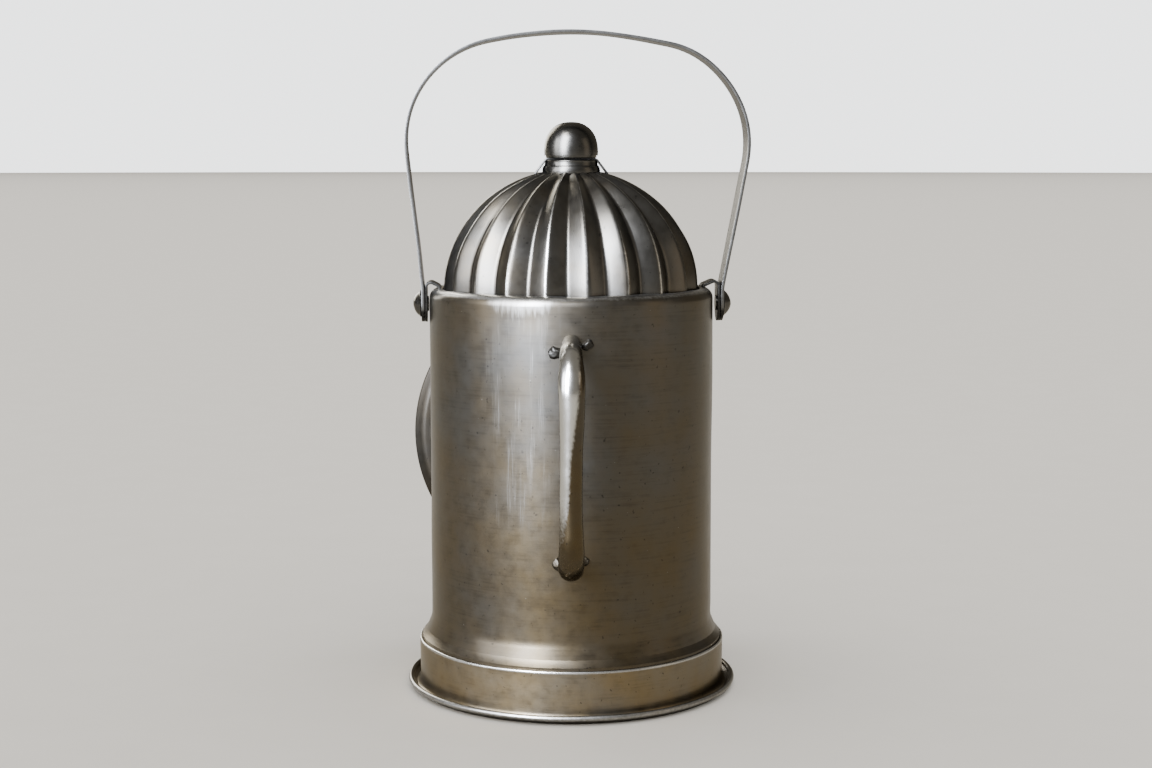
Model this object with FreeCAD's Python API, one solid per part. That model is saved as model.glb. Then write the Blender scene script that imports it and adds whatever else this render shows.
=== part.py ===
import FreeCAD, Part
import math
import os
from FreeCAD import Vector

os.makedirs("parts", exist_ok=True)

# Candle lantern of sheet metal, millimetres, +Z up, standing on z = 0.
# The glazed door faces -Y, the grip handle is on the +Y side, and the lantern's
# own left side is +X.  The case axis is the Z axis.

# ---- sheet and fits
SHEET = 1.2                     # case, band, dish, drum and bezel
SEAT_GAP = 0.4                  # door face to drum mouth
SIDE_GAP = 0.8                  # door collar inside the drum
FACE_GAP = 0.2                  # faces that slide past each other
BORE_GAP = 0.06                 # radial, pin in a turning hole

# ---- case
BODY_R = 75.0                   # outer radius of the wall
BODY_TOP = 213.0                # top of the rolled shoulder
SHOULDER_R = 5.0
MOUTH_SET_IN = 7.0              # wall to the edge of the rolled-in shoulder
FLARE_OUT = 5.1                 # how far the foot of the wall flares
BAND_TOP = 26.0
SKIRT_BOTTOM = 12.0             # lower edge of the wall, inside the band
FLARE_BOTTOM = 27.5
FLARE_TOP = 40.0

# ---- base dish
DISH_MARGIN = 2.9               # flat of the dish outside the band
DISH_RIM_OUT = 2.4              # flat to the centre of the rolled bead
DISH_BEAD_R = 1.4
DISH_RIM_Z = 3.6

# ---- fluted roof
ROOF_CLEARANCE = 0.7            # mouth to the ridges
ROOF_RISE = 62.4
ROOF_SHEET = 1.0
PLEATS = 20
PLEAT_DEPTH = 0.075             # of the ridge radius
PLEAT_TURN = 4.8                # degrees from +X to the first ridge
ROOF_STEPS = 9
VENT_R = 12.0                   # chimney hole in the crown

# ---- chimney collar, bridge and finial
COLLAR_FOOT_R = 15.3
COLLAR_NECK_R = 13.6
COLLAR_STEP_R = 14.5
COLLAR_STEP = 0.4
COLLAR_WALL = 1.4
COLLAR_SPIGOT = 4.4             # reaches down between the ridges of the roof
COLLAR_STAND = 0.84             # foot of the collar over the ridges there
COLLAR_HEIGHT = 5.4
BRIDGE_FOOT = 19.2              # half the span over the feet
BRIDGE_WIDTH = 9.0
BRIDGE_SHEET = 1.0
FINIAL_R = 14.2
FINIAL_NECK_R = 13.5
FINIAL_BELLY_RISE = 3.4
FINIAL_HEIGHT = 18.8
FINIAL_CAP_R = 11.4             # where the side turns over into the cap
FINIAL_CAP_DROP = 5.0
SCREW_R = 2.0
SCREW_HEAD_R = 3.8
SCREW_GRIP = 9.0

# ---- bail, its ear brackets and rivets
PIVOT_DROP = 8.4                # pivot below the top of the case
BAIL_WIDTH = 19.0
BAIL_SHEET = 1.6
PAD_STAND = {"left": 4.1, "right": 5.4}          # wall to the outer face of each end
CORNER_OUT = {"left": 16.9, "right": 27.8}       # wall to each upper corner
CORNER_RISE = {"left": 127.8, "right": 125.6}    # corner over the pivot
BAIL_SHOULDER_R = {"left": 53.6, "right": 53.9}
APEX_RISE = 147.0               # pivot to where the two slopes of the crown would meet
BAIL_CROWN_R = 215.0
BAIL_BEND_RISE = 8.4            # pivot to the bend over the pad
BAIL_BEND_R = 24.0
EAR_WIDTH = 16.0
EAR_SHEET = 1.3
EAR_SET_BACK = 1.5              # mouth to the middle of the inner leg
EAR_INNER_DEPTH = 11.0          # inner leg below the top of the case
EAR_SHOULDER_RISE = 1.6
EAR_RISE = 4.6
EAR_DROP = 9.6                  # tab below the pivot
RIVET_R = 2.5
RIVET_HEAD_R = 7.15
RIVET_HEAD_RISE = 4.3
RIVET_TAIL_R = 4.0
RIVET_TAIL = 0.7

# ---- grip handle
HANDLE_TURN = 2.5               # degrees off the door's axis, set by hand
HANDLE_DROP = 23.0              # top of the case to the middle of the rod
HANDLE_BOTTOM = 78.5
HANDLE_REACH = 36.0             # wall to the middle of the grip
HANDLE_ROD_R = 6.0
HANDLE_BEND_R = 20.0
WELD_R = 4.2
WELD_SPREAD = 7.4

# ---- front drum and glazed door
DRUM_Z = 122.0
DRUM_R = 68.0
DRUM_REACH = 17.0               # wall to the drum's mouth
BEZEL_LIP_IN = 10.0             # drum to the lip that holds the glass
BEZEL_FLAT_OUT = 14.0
BEZEL_RIM_OUT = 17.7            # drum to the centre of the rolled bead
BEZEL_BEAD_R = 1.3
BEZEL_DISH = 4.0                # how far the bead stands in front of the flat
COLLAR_DEPTH = 8.4
GLASS_SHEET = 2.5
GLASS_BULGE = 7.0
GLASS_FLAT_IN = 2.0             # lip to the edge of the bulge
SNAP_WIRE_R = 1.0
SNAP_SPLIT = 14.0               # degrees

# ---- hinge, knob and catch of the door
HINGE_OUT = 5.5                 # drum to the hinge pin
HINGE_SETBACK = 3.4             # pin behind the bezel's back face
KNUCKLE_R = 3.0
PIN_R = 1.25
PIN_HEAD_R = 2.3
PIN_HEAD = 1.2
KNUCKLE = 8.0
LEAF_SHEET = 1.2
LEAF_LENGTH = 15.0
LEAF_RIVET_R = 1.2
LEAF_RIVET_BACK = 11.0          # behind the hinge pin
LEAF_RIVET_TAIL = 0.6
LEAF_RIVET_HEAD_R = 2.0
LEAF_RIVET_RISE = 1.1
DOOR_RIVET_OUT = 5.5            # hinge pin to the rivet in the bezel
KNOB_OUT = 7.5                  # drum to the knob
KNOB_R = 5.0
KNOB_LENGTH = 11.0
KNOB_STEM_R = 2.4
CATCH_HALF = 4.0                # half height of lug and spring
LUG_OUT = 3.6                   # drum to the catch lug
LUG_LENGTH = 6.2
SPRING_SHEET = 0.8
SPRING_RIVET_BACK = 20.0        # behind the drum's mouth

# ---- candle seat
PAN_R = 40.0
PAN_RIM_R = 44.0
PAN_SHEET = 1.0
PAN_RISE = 9.0
SPIKE_R = 2.4
SPIKE_BASE_R = 8.0
SPIKE_BASE = 1.5
SPIKE_RISE = 19.0

# ---- worked out
MOUTH_R = BODY_R - MOUTH_SET_IN
SKIRT_R = BODY_R + FLARE_OUT
BAND_R = SKIRT_R + SHEET
DISH_FLOOR_R = BAND_R + DISH_MARGIN
DISH_RIM_R = DISH_FLOOR_R + DISH_RIM_OUT
ROOF_R = MOUTH_R - ROOF_CLEARANCE
COLLAR_BOTTOM = BODY_TOP + ROOF_RISE * math.sqrt(1 - (COLLAR_FOOT_R / ROOF_R) ** 2) + COLLAR_STAND
COLLAR_TOP = COLLAR_BOTTOM + COLLAR_HEIGHT
PIVOT_Z = BODY_TOP - PIVOT_DROP
PAD_OUT = {name: BODY_R + stand for name, stand in PAD_STAND.items()}
BAIL_CORNER = {name: (BODY_R + CORNER_OUT[name], PIVOT_Z + CORNER_RISE[name]) for name in CORNER_OUT}
BAIL_APEX = PIVOT_Z + APEX_RISE
BAIL_BEND_Z = PIVOT_Z + BAIL_BEND_RISE
EAR_INNER_X = MOUTH_R + EAR_SET_BACK
EAR_INNER_BOTTOM = BODY_TOP - EAR_INNER_DEPTH
EAR_SHOULDER_Z = BODY_TOP + EAR_SHOULDER_RISE
EAR_TOP = BODY_TOP + EAR_RISE
EAR_BOTTOM = PIVOT_Z - EAR_DROP
HANDLE_TOP = BODY_TOP - HANDLE_DROP
ROOF_FLANGE_R = BODY_R - SHOULDER_R
DRUM_BORE_R = DRUM_R - SHEET
DRUM_MOUTH = BODY_R + DRUM_REACH
BEZEL_LIP_R = DRUM_R - BEZEL_LIP_IN
BEZEL_FLAT_R = DRUM_R + BEZEL_FLAT_OUT
BEZEL_RIM_R = DRUM_R + BEZEL_RIM_OUT
GLASS_FLAT_R = BEZEL_LIP_R - GLASS_FLAT_IN
BEZEL_BACK = DRUM_MOUTH + SEAT_GAP
BEZEL_FRONT = BEZEL_BACK + SHEET
BEZEL_COLLAR_R = DRUM_BORE_R - SIDE_GAP
GLASS_R = BEZEL_COLLAR_R - SHEET - 0.4
HINGE_X = -(DRUM_R + HINGE_OUT)
HINGE_Y = BEZEL_BACK - HINGE_SETBACK
DOOR_RIVET_X = HINGE_X - DOOR_RIVET_OUT
KNOB_X = DRUM_R + KNOB_OUT
LUG_X = DRUM_R + LUG_OUT
SPRING_RIVET_Y = DRUM_MOUTH - SPRING_RIVET_BACK
BRIDGE_TOP = COLLAR_TOP + BRIDGE_SHEET
SIDES = (("left", 1), ("right", -1))
UP = Vector(0, 0, 1)
FORWARD = Vector(0, -1, 0)


def save(name, shape):
    if not shape.isValid():
        raise ValueError(name + " is not a valid solid")
    shape.exportStep(os.path.join("parts", name + ".step"))
    print("%-20s solids %d  volume %.1f" % (name, len(shape.Solids), shape.Volume))


def edges_through(start, steps, place):
    """Edges from start: a step is an end point, or (point on the arc, end point)."""
    edges = []
    here = place(*start)
    for step in steps:
        if isinstance(step[0], tuple):
            middle, end = place(*step[0]), place(*step[1])
            edges.append(Part.Arc(here, middle, end).toShape())
        else:
            end = place(*step)
            if (end - here).Length > 1e-6:
                edges.append(Part.makeLine(here, end))
        here = end
    return edges


def turned(start, *steps):
    """Solid of revolution about Z from an outline of (radius, height)."""
    edges = edges_through(start, steps + (start,), lambda r, z: Vector(r, 0, z))
    return Part.Face(Part.Wire(edges)).revolve(Vector(0, 0, 0), UP, 360)


def turned_on_drum(start, *steps):
    """Solid of revolution about the drum's axis from (radius, distance in front)."""
    edges = edges_through(start, steps + (start,), lambda r, y: Vector(r, -y, DRUM_Z))
    return Part.Face(Part.Wire(edges)).revolve(Vector(0, 0, DRUM_Z), FORWARD, 360)


def block(x0, x1, y0, y1, z0, z1):
    return Part.makeBox(x1 - x0, y1 - y0, z1 - z0, Vector(x0, y0, z0))


def on_arc(centre, radius, degrees):
    angle = math.radians(degrees)
    return (centre[0] + radius * math.cos(angle), centre[1] + radius * math.sin(angle))


def filleted(corners, radii):
    """Line and arc pieces through the corners, each inner corner rounded."""
    pieces = []
    here = Vector(corners[0][0], 0, corners[0][1])
    for i in range(1, len(corners) - 1):
        corner = Vector(corners[i][0], 0, corners[i][1])
        back = (Vector(corners[i - 1][0], 0, corners[i - 1][1]) - corner).normalize()
        ahead = (Vector(corners[i + 1][0], 0, corners[i + 1][1]) - corner).normalize()
        half = back.getAngle(ahead) / 2
        run = radii[i - 1] / math.tan(half)
        start, end = corner + back * run, corner + ahead * run
        to_centre = (back + ahead).normalize()
        middle = corner + to_centre * (radii[i - 1] / math.sin(half) - radii[i - 1])
        pieces.append(("line", here, start))
        pieces.append(("arc", start, middle, end))
        here = end
    pieces.append(("line", here, Vector(corners[-1][0], 0, corners[-1][1])))
    return pieces


def wire_of(pieces):
    edges = []
    for piece in pieces:
        if piece[0] == "arc":
            edges.append(Part.Arc(piece[1], piece[2], piece[3]).toShape())
        elif (piece[2] - piece[1]).Length > 1e-6:
            edges.append(Part.makeLine(piece[1], piece[2]))
    return Part.Wire(edges)


def strip(corners, radii, sheet, width):
    """Flat strip bent in the XZ plane, centred on y = 0; corners are on its middle line."""
    middle_line = wire_of(filleted(corners, radii))
    first = middle_line.Edges[0]
    along = first.tangentAt(first.FirstParameter)
    across = Vector(along.z, 0, -along.x)
    foot = first.valueAt(first.FirstParameter)
    side = Vector(0, width / 2, 0)
    thick = across * (sheet / 2)
    ring = [foot + thick + side, foot + thick - side, foot - thick - side, foot - thick + side]
    section = Part.makePolygon(ring + [ring[0]])
    return middle_line.makePipeShell([section], True, False)


def rivet(place, outward, radius, length, head_r, head_rise, tail_r, tail):
    """Domed rivet: its head stands outward of place, its shank runs length the other way."""
    dome_r = (head_r ** 2 + head_rise ** 2) / (2 * head_rise)
    ball = Part.makeSphere(dome_r, Vector(0, 0, head_rise - dome_r))
    head = ball.common(Part.makeCylinder(head_r, head_rise + 1, Vector(0, 0, 0), UP))
    shank = Part.makeCylinder(radius, length, Vector(0, 0, -length), UP)
    foot = Part.makeCylinder(tail_r, tail, Vector(0, 0, -length - tail), UP)
    whole = head.fuse([shank, foot]).removeSplitter()
    whole.Placement = FreeCAD.Placement(place, FreeCAD.Rotation(UP, outward))
    return whole


# ---- case ---------------------------------------------------------------

def body_shell():
    flare_r = ((FLARE_TOP - FLARE_BOTTOM) ** 2 + (SKIRT_R - BODY_R) ** 2) / (2 * (SKIRT_R - BODY_R))
    flare_centre = (BODY_R + flare_r, FLARE_TOP)
    inner_r = flare_r + SHEET
    skirt_in = SKIRT_R - SHEET
    inner_bottom = FLARE_TOP - math.sqrt(inner_r ** 2 - (flare_centre[0] - skirt_in) ** 2)
    half_out = math.degrees(math.atan2(FLARE_TOP - FLARE_BOTTOM, flare_centre[0] - SKIRT_R)) / 2
    half_in = math.degrees(math.atan2(FLARE_TOP - inner_bottom, flare_centre[0] - skirt_in)) / 2
    roll = (BODY_R - SHOULDER_R, BODY_TOP - SHOULDER_R)
    shell = turned(
        (SKIRT_R, SKIRT_BOTTOM), (SKIRT_R, FLARE_BOTTOM),
        (on_arc(flare_centre, flare_r, 180 + half_out), (BODY_R, FLARE_TOP)),
        (BODY_R, roll[1]), (on_arc(roll, SHOULDER_R, 45), (roll[0], BODY_TOP)),
        (MOUTH_R, BODY_TOP), (MOUTH_R, BODY_TOP - SHEET), (roll[0], BODY_TOP - SHEET),
        (on_arc(roll, SHOULDER_R - SHEET, 45), (BODY_R - SHEET, roll[1])),
        (BODY_R - SHEET, FLARE_TOP),
        (on_arc(flare_centre, inner_r, 180 + half_in), (skirt_in, inner_bottom)),
        (skirt_in, SKIRT_BOTTOM))
    return shell.cut(drum_plug(DRUM_BORE_R, DRUM_MOUTH)).cut(ear_slots())


def ear_slots():
    """Room for the ear brackets' inner legs where they pass the mouth."""
    half = EAR_SHEET / 2
    slots = []
    for _, side in SIDES:
        x0, x1 = sorted((side * (EAR_INNER_X - half), side * (EAR_INNER_X + half)))
        slots.append(block(x0, x1, -EAR_WIDTH / 2 - 0.1, EAR_WIDTH / 2 + 0.1,
                           EAR_INNER_BOTTOM, BODY_TOP + SHEET))
    return slots[0].fuse(slots[1])


def base_band():
    return turned((SKIRT_R, SHEET), (BAND_R, SHEET), (BAND_R, BAND_TOP), (SKIRT_R, BAND_TOP))


def base_dish():
    rise = SHEET * 0.7
    pan = turned((0, 0), (DISH_FLOOR_R, 0), (DISH_RIM_R + rise, DISH_RIM_Z - rise),
                 (DISH_RIM_R - rise, DISH_RIM_Z + rise), (DISH_FLOOR_R - SHEET / 2, SHEET),
                 (0, SHEET))
    bead = Part.makeTorus(DISH_RIM_R, DISH_BEAD_R, Vector(0, 0, DISH_RIM_Z), UP)
    return pan.fuse(bead).removeSplitter()


# ---- roof ---------------------------------------------------------------

def pleated_ring(ridge_r, z):
    points = []
    for k in range(2 * PLEATS):
        angle = math.radians(PLEAT_TURN + k * 180.0 / PLEATS)
        radius = ridge_r if k % 2 == 0 else ridge_r * (1 - PLEAT_DEPTH)
        points.append(Vector(radius * math.cos(angle), radius * math.sin(angle), z))
    return Part.makePolygon(points + [points[0]])


def pleated_dome(ridge_r, rise, top_r, bottom):
    """Solid under a pleated dome, from z = bottom up to where its ridges reach top_r."""
    rings = [pleated_ring(ridge_r, bottom)]
    last = math.acos(top_r / ridge_r)
    for i in range(ROOF_STEPS + 1):
        lift = last * i / ROOF_STEPS
        rings.append(pleated_ring(ridge_r * math.cos(lift), BODY_TOP + rise * math.sin(lift)))
    return Part.makeLoft(rings, True, True)


def roof_plug():
    return pleated_dome(ROOF_R, ROOF_RISE, VENT_R, BODY_TOP - 2 * SHEET)


def dome_roof():
    flange_z = BODY_TOP - 2 * SHEET
    outer = roof_plug()
    inner = pleated_dome(ROOF_R - ROOF_SHEET, ROOF_RISE - ROOF_SHEET, VENT_R * 0.6, flange_z - SHEET)
    flange = Part.makeCylinder(ROOF_FLANGE_R, SHEET, Vector(0, 0, flange_z), UP)
    vent = Part.makeCylinder(VENT_R * (1 - 1.2 * PLEAT_DEPTH), 2 * ROOF_RISE, Vector(0, 0, BODY_TOP), UP)
    return outer.fuse(flange).cut(inner).cut(vent).cut(ear_slots())


def chimney_collar():
    step_z = (COLLAR_BOTTOM + COLLAR_TOP) / 2
    ring = turned((COLLAR_FOOT_R - COLLAR_WALL, COLLAR_BOTTOM), (COLLAR_FOOT_R, COLLAR_BOTTOM),
                  (COLLAR_STEP_R, step_z), (COLLAR_STEP_R - COLLAR_STEP, step_z),
                  (COLLAR_NECK_R, COLLAR_TOP), (COLLAR_NECK_R - COLLAR_WALL, COLLAR_TOP))
    spigot_r = COLLAR_FOOT_R - COLLAR_STEP
    spigot_z = COLLAR_BOTTOM - COLLAR_SPIGOT
    spigot = turned((COLLAR_FOOT_R - COLLAR_WALL, spigot_z), (spigot_r, spigot_z),
                    (spigot_r, COLLAR_BOTTOM), (COLLAR_FOOT_R - COLLAR_WALL, COLLAR_BOTTOM))
    return ring.fuse(spigot).cut(roof_plug()).removeSplitter()


def bridge_strap():
    half = BRIDGE_SHEET / 2
    shoulder_x = COLLAR_NECK_R - 0.6
    foot_z = BODY_TOP + ROOF_RISE * math.sqrt(1 - (BRIDGE_FOOT / ROOF_R) ** 2) - 1.0
    corners = [(-BRIDGE_FOOT, foot_z), (-shoulder_x, COLLAR_TOP + half), (shoulder_x, COLLAR_TOP + half),
               (BRIDGE_FOOT, foot_z)]
    arch = strip(corners, [2.0, 2.0], BRIDGE_SHEET, BRIDGE_WIDTH)
    hole = Part.makeCylinder(SCREW_R, 4, Vector(0, 0, COLLAR_TOP - 1), UP)
    return arch.cut(hole).cut(roof_plug()).cut(chimney_collar())


def finial():
    belly_z = BRIDGE_TOP + FINIAL_BELLY_RISE
    top = BRIDGE_TOP + FINIAL_HEIGHT
    cap_z = top - FINIAL_CAP_DROP
    cap_radius = (FINIAL_CAP_R ** 2 + FINIAL_CAP_DROP ** 2) / (2 * FINIAL_CAP_DROP)
    half_cap = math.degrees(math.asin(FINIAL_CAP_R / cap_radius)) / 2
    side = (FINIAL_R - 0.55, (belly_z + cap_z) / 2)
    ball = turned((0, BRIDGE_TOP), (FINIAL_NECK_R, BRIDGE_TOP), (FINIAL_R, belly_z),
                  (side, (FINIAL_CAP_R, cap_z)),
                  (on_arc((0, top - cap_radius), cap_radius, 90 - half_cap), (0, top)))
    bore = Part.makeCylinder(SCREW_R, SCREW_GRIP - BRIDGE_SHEET, Vector(0, 0, BRIDGE_TOP), UP)
    return ball.cut(bore)


def finial_screw():
    head = Part.makeCylinder(SCREW_HEAD_R, 2.2, Vector(0, 0, COLLAR_TOP - 2.2), UP)
    shank = Part.makeCylinder(SCREW_R, SCREW_GRIP, Vector(0, 0, COLLAR_TOP), UP)
    slot = block(-SCREW_HEAD_R, SCREW_HEAD_R, -0.5, 0.5, COLLAR_TOP - 2.4, COLLAR_TOP - 1.4)
    return head.fuse(shank).removeSplitter().cut(slot)


# ---- bail ---------------------------------------------------------------

def pad_in(name):
    return PAD_OUT[name] - BAIL_SHEET


def ear_out(name):
    return pad_in(name) - FACE_GAP


def ear_bracket(name, side):
    half = EAR_SHEET / 2
    tab_x = ear_out(name) - half
    corners = [(side * EAR_INNER_X, EAR_INNER_BOTTOM), (side * EAR_INNER_X, EAR_SHOULDER_Z - half),
               (side * tab_x, EAR_TOP), (side * tab_x, EAR_BOTTOM)]
    bent = strip(corners, [1.4, 2.6], EAR_SHEET, EAR_WIDTH)
    hole = Part.makeCylinder(RIVET_R, 12, Vector(side * (tab_x - 6), 0, PIVOT_Z), Vector(side, 0, 0))
    bent = bent.cut(hole).cut(wall_plug())
    keep = Part.makeCylinder(EAR_WIDTH / 2, 8, Vector(side * (tab_x - 4), 0, PIVOT_Z), Vector(side, 0, 0))
    x0, x1 = sorted((side * (tab_x - 4), side * (tab_x + 4)))
    corner_block = block(x0, x1, -EAR_WIDTH, EAR_WIDTH, EAR_BOTTOM - 10, PIVOT_Z)
    return bent.cut(corner_block.cut(keep))


def wall_plug():
    """The rolled shoulder's own metal, as a solid ring, for parts that seat on it."""
    roll = (BODY_R - SHOULDER_R, BODY_TOP - SHOULDER_R)
    return turned((BODY_R - SHEET, SKIRT_BOTTOM), (BODY_R, SKIRT_BOTTOM), (BODY_R, roll[1]),
                  (on_arc(roll, SHOULDER_R, 45), (roll[0], BODY_TOP)), (roll[0], BODY_TOP - SHEET),
                  (on_arc(roll, SHOULDER_R - SHEET, 45), (BODY_R - SHEET, roll[1])))


def bail():
    half = BAIL_SHEET / 2
    corners = []
    radii = []
    for name, side in SIDES:
        pad_x = side * (PAD_OUT[name] - half)
        corner_x = side * (BAIL_CORNER[name][0] - half)
        leg = [(pad_x, PIVOT_Z - BAIL_WIDTH / 2), (pad_x, BAIL_BEND_Z),
               (corner_x, BAIL_CORNER[name][1] - half)]
        rounds = [BAIL_BEND_R, BAIL_SHOULDER_R[name] - half]
        if side > 0:
            corners += leg + [(0, BAIL_APEX - half)]
            radii += rounds + [BAIL_CROWN_R - half]
        else:
            corners += leg[::-1]
            radii += rounds[::-1]
    whole = strip(corners, radii, BAIL_SHEET, BAIL_WIDTH)
    for name, side in SIDES:
        out = Vector(side, 0, 0)
        start = Vector(side * (pad_in(name) - 4), 0, PIVOT_Z)
        keep = Part.makeCylinder(BAIL_WIDTH / 2, 12, start, out)
        x0, x1 = sorted((side * (pad_in(name) - 4), side * (PAD_OUT[name] + 4)))
        square = block(x0, x1, -BAIL_WIDTH, BAIL_WIDTH, PIVOT_Z - BAIL_WIDTH, PIVOT_Z)
        hole = Part.makeCylinder(RIVET_R + BORE_GAP, 12, start, out)
        whole = whole.cut(square.cut(keep)).cut(hole)
    return whole


def bail_rivet(name, side):
    head_face = PAD_OUT[name] + FACE_GAP
    tail_face = ear_out(name) - EAR_SHEET
    return rivet(Vector(side * head_face, 0, PIVOT_Z), Vector(side, 0, 0), RIVET_R,
                 head_face - tail_face, RIVET_HEAD_R, RIVET_HEAD_RISE, RIVET_TAIL_R, RIVET_TAIL)


# ---- grip handle --------------------------------------------------------

def turned_back(shape):
    """Turn from the +Y plane to where the handle was set."""
    shape.rotate(Vector(0, 0, 0), UP, -HANDLE_TURN)
    return shape


def case_wall():
    return Part.makeCylinder(BODY_R, BODY_TOP, Vector(0, 0, 0), UP)


def handle_rod():
    reach = BODY_R + HANDLE_REACH
    inside = BODY_R - 6
    top_drop, bottom_rise = 4.0, 3.0
    pieces = filleted([(inside, HANDLE_TOP), (reach, HANDLE_TOP - top_drop),
                       (reach - 2.0, HANDLE_BOTTOM + bottom_rise), (inside, HANDLE_BOTTOM)],
                      [HANDLE_BEND_R, HANDLE_BEND_R])
    path = wire_of(pieces)
    path.rotate(Vector(0, 0, 0), UP, 90)
    first = path.Edges[0]
    section = Part.Wire(Part.makeCircle(HANDLE_ROD_R, first.valueAt(first.FirstParameter),
                                        first.tangentAt(first.FirstParameter)))
    return path.makePipeShell([section], True, False)


def rear_handle():
    return turned_back(handle_rod().cut(case_wall()))


def handle_welds():
    blobs = []
    for z in (HANDLE_TOP, HANDLE_BOTTOM):
        for side in (-1, 1):
            blob = Part.makeSphere(WELD_R, Vector(side * WELD_SPREAD, BODY_R - 1.6, z))
            blobs.append(blob.cut(case_wall()).cut(handle_rod()))
    return turned_back(Part.makeCompound(blobs))


# ---- front drum and door ------------------------------------------------

def drum_plug(radius, length):
    return Part.makeCylinder(radius, length, Vector(0, 0, DRUM_Z), FORWARD)


def drum_ring():
    """The drum's wall with its rivet holes, before it is cut to sit on the case."""
    ring = drum_plug(DRUM_R, DRUM_MOUTH).cut(drum_plug(DRUM_BORE_R, DRUM_MOUTH + SHEET))
    for hole in hinge_rivet_holes() + [spring_rivet_hole()]:
        ring = ring.cut(hole)
    return ring


def front_drum():
    return drum_ring().cut(case_wall())


def door_bezel():
    rise = SHEET / 2
    ring = turned_on_drum(
        (BEZEL_LIP_R, BEZEL_BACK), (BEZEL_COLLAR_R - SHEET, BEZEL_BACK),
        (BEZEL_COLLAR_R - SHEET, BEZEL_BACK - COLLAR_DEPTH), (BEZEL_COLLAR_R, BEZEL_BACK - COLLAR_DEPTH),
        (BEZEL_COLLAR_R, BEZEL_BACK), (BEZEL_FLAT_R, BEZEL_BACK),
        (BEZEL_RIM_R + rise, BEZEL_FRONT - rise + BEZEL_DISH - rise),
        (BEZEL_RIM_R - rise, BEZEL_FRONT - rise + BEZEL_DISH + rise),
        (BEZEL_FLAT_R - rise, BEZEL_FRONT), (BEZEL_LIP_R, BEZEL_FRONT))
    bead = Part.makeTorus(BEZEL_RIM_R, BEZEL_BEAD_R, Vector(0, -BEZEL_FRONT + rise - BEZEL_DISH, DRUM_Z),
                          FORWARD)
    ring = ring.fuse(bead).removeSplitter()
    return ring.cut(door_rivet_hole()).cut(knob_hole())


def door_glass():
    front = BEZEL_BACK
    back = front - GLASS_SHEET
    bulge_r = (GLASS_FLAT_R ** 2 + GLASS_BULGE ** 2) / (2 * GLASS_BULGE)
    half = math.degrees(math.asin(GLASS_FLAT_R / bulge_r)) / 2

    def bulge(face):
        return on_arc((0, face + GLASS_BULGE - bulge_r), bulge_r, 90 - half)

    return turned_on_drum(
        (0, back + GLASS_BULGE), (0, front + GLASS_BULGE), (bulge(front), (GLASS_FLAT_R, front)),
        (GLASS_R, front), (GLASS_R, back), (GLASS_FLAT_R, back),
        (bulge(back), (0, back + GLASS_BULGE)))


def glass_snap_ring():
    middle = BEZEL_BACK - GLASS_SHEET - SNAP_WIRE_R - BORE_GAP
    ring_r = BEZEL_COLLAR_R - SHEET - SNAP_WIRE_R - BORE_GAP
    wire = Part.Wire(Part.makeCircle(SNAP_WIRE_R, Vector(ring_r, -middle, DRUM_Z), UP))
    ring = Part.Face(wire).revolve(Vector(0, 0, DRUM_Z), FORWARD, 360 - SNAP_SPLIT)
    ring.rotate(Vector(0, 0, DRUM_Z), FORWARD, 270 + SNAP_SPLIT / 2)
    return ring


def knuckle(bore_r, z0, z1):
    at = Vector(HINGE_X, -HINGE_Y, z0)
    return Part.makeCylinder(KNUCKLE_R, z1 - z0, at, UP), Part.makeCylinder(bore_r, z1 - z0, at, UP)


def hinge_rivet_holes():
    holes = []
    for side in (-1, 1):
        at = Vector(-DRUM_R - 4, -(HINGE_Y - LEAF_RIVET_BACK), DRUM_Z + side * KNUCKLE)
        holes.append(Part.makeCylinder(LEAF_RIVET_R, 8, at, Vector(1, 0, 0)))
    return holes


def hinge_leaf_drum():
    half = 1.5 * KNUCKLE
    plate_x = -DRUM_R - LEAF_SHEET
    back = HINGE_Y - KNUCKLE_R
    leaf = block(plate_x, -DRUM_R + 1.6, -(back + LEAF_SHEET), -(back + LEAF_SHEET - LEAF_LENGTH),
                 DRUM_Z - half, DRUM_Z + half)
    bores = []
    for z0 in (DRUM_Z - half, DRUM_Z + KNUCKLE / 2 + FACE_GAP):
        z1 = z0 + KNUCKLE - FACE_GAP
        barrel, bore = knuckle(PIN_R, z0, z1)
        web = block(HINGE_X, plate_x + 0.2, -(back + LEAF_SHEET), -back, z0, z1)
        leaf = leaf.fuse([barrel, web])
        bores.append(bore)
    leaf = leaf.removeSplitter().cut(bores[0]).cut(bores[1]).cut(drum_plug(DRUM_R, DRUM_MOUTH))
    for hole in hinge_rivet_holes():
        leaf = leaf.cut(hole)
    return leaf


def hinge_rivets():
    both = []
    for side in (-1, 1):
        z = side * KNUCKLE
        wall = math.sqrt(DRUM_BORE_R ** 2 - (abs(z) + LEAF_RIVET_HEAD_R) ** 2)
        face = -DRUM_R - LEAF_SHEET
        place = Vector(face, -(HINGE_Y - LEAF_RIVET_BACK), DRUM_Z + z)
        both.append(rivet(place, Vector(-1, 0, 0), LEAF_RIVET_R,
                          -face - wall, LEAF_RIVET_HEAD_R, LEAF_RIVET_RISE, LEAF_RIVET_HEAD_R,
                          LEAF_RIVET_TAIL))
    return Part.makeCompound([one.cut(drum_ring()) for one in both])


def hinge_pin():
    half = 1.5 * KNUCKLE
    at = Vector(HINGE_X, -HINGE_Y, DRUM_Z - half)
    pin = Part.makeCylinder(PIN_R, 2 * half, at, UP)
    low = Part.makeCylinder(PIN_HEAD_R, PIN_HEAD, at - UP * PIN_HEAD, UP)
    high = Part.makeCylinder(PIN_HEAD_R, PIN_HEAD, at + UP * (2 * half), UP)
    return pin.fuse([low, high]).removeSplitter()


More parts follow.
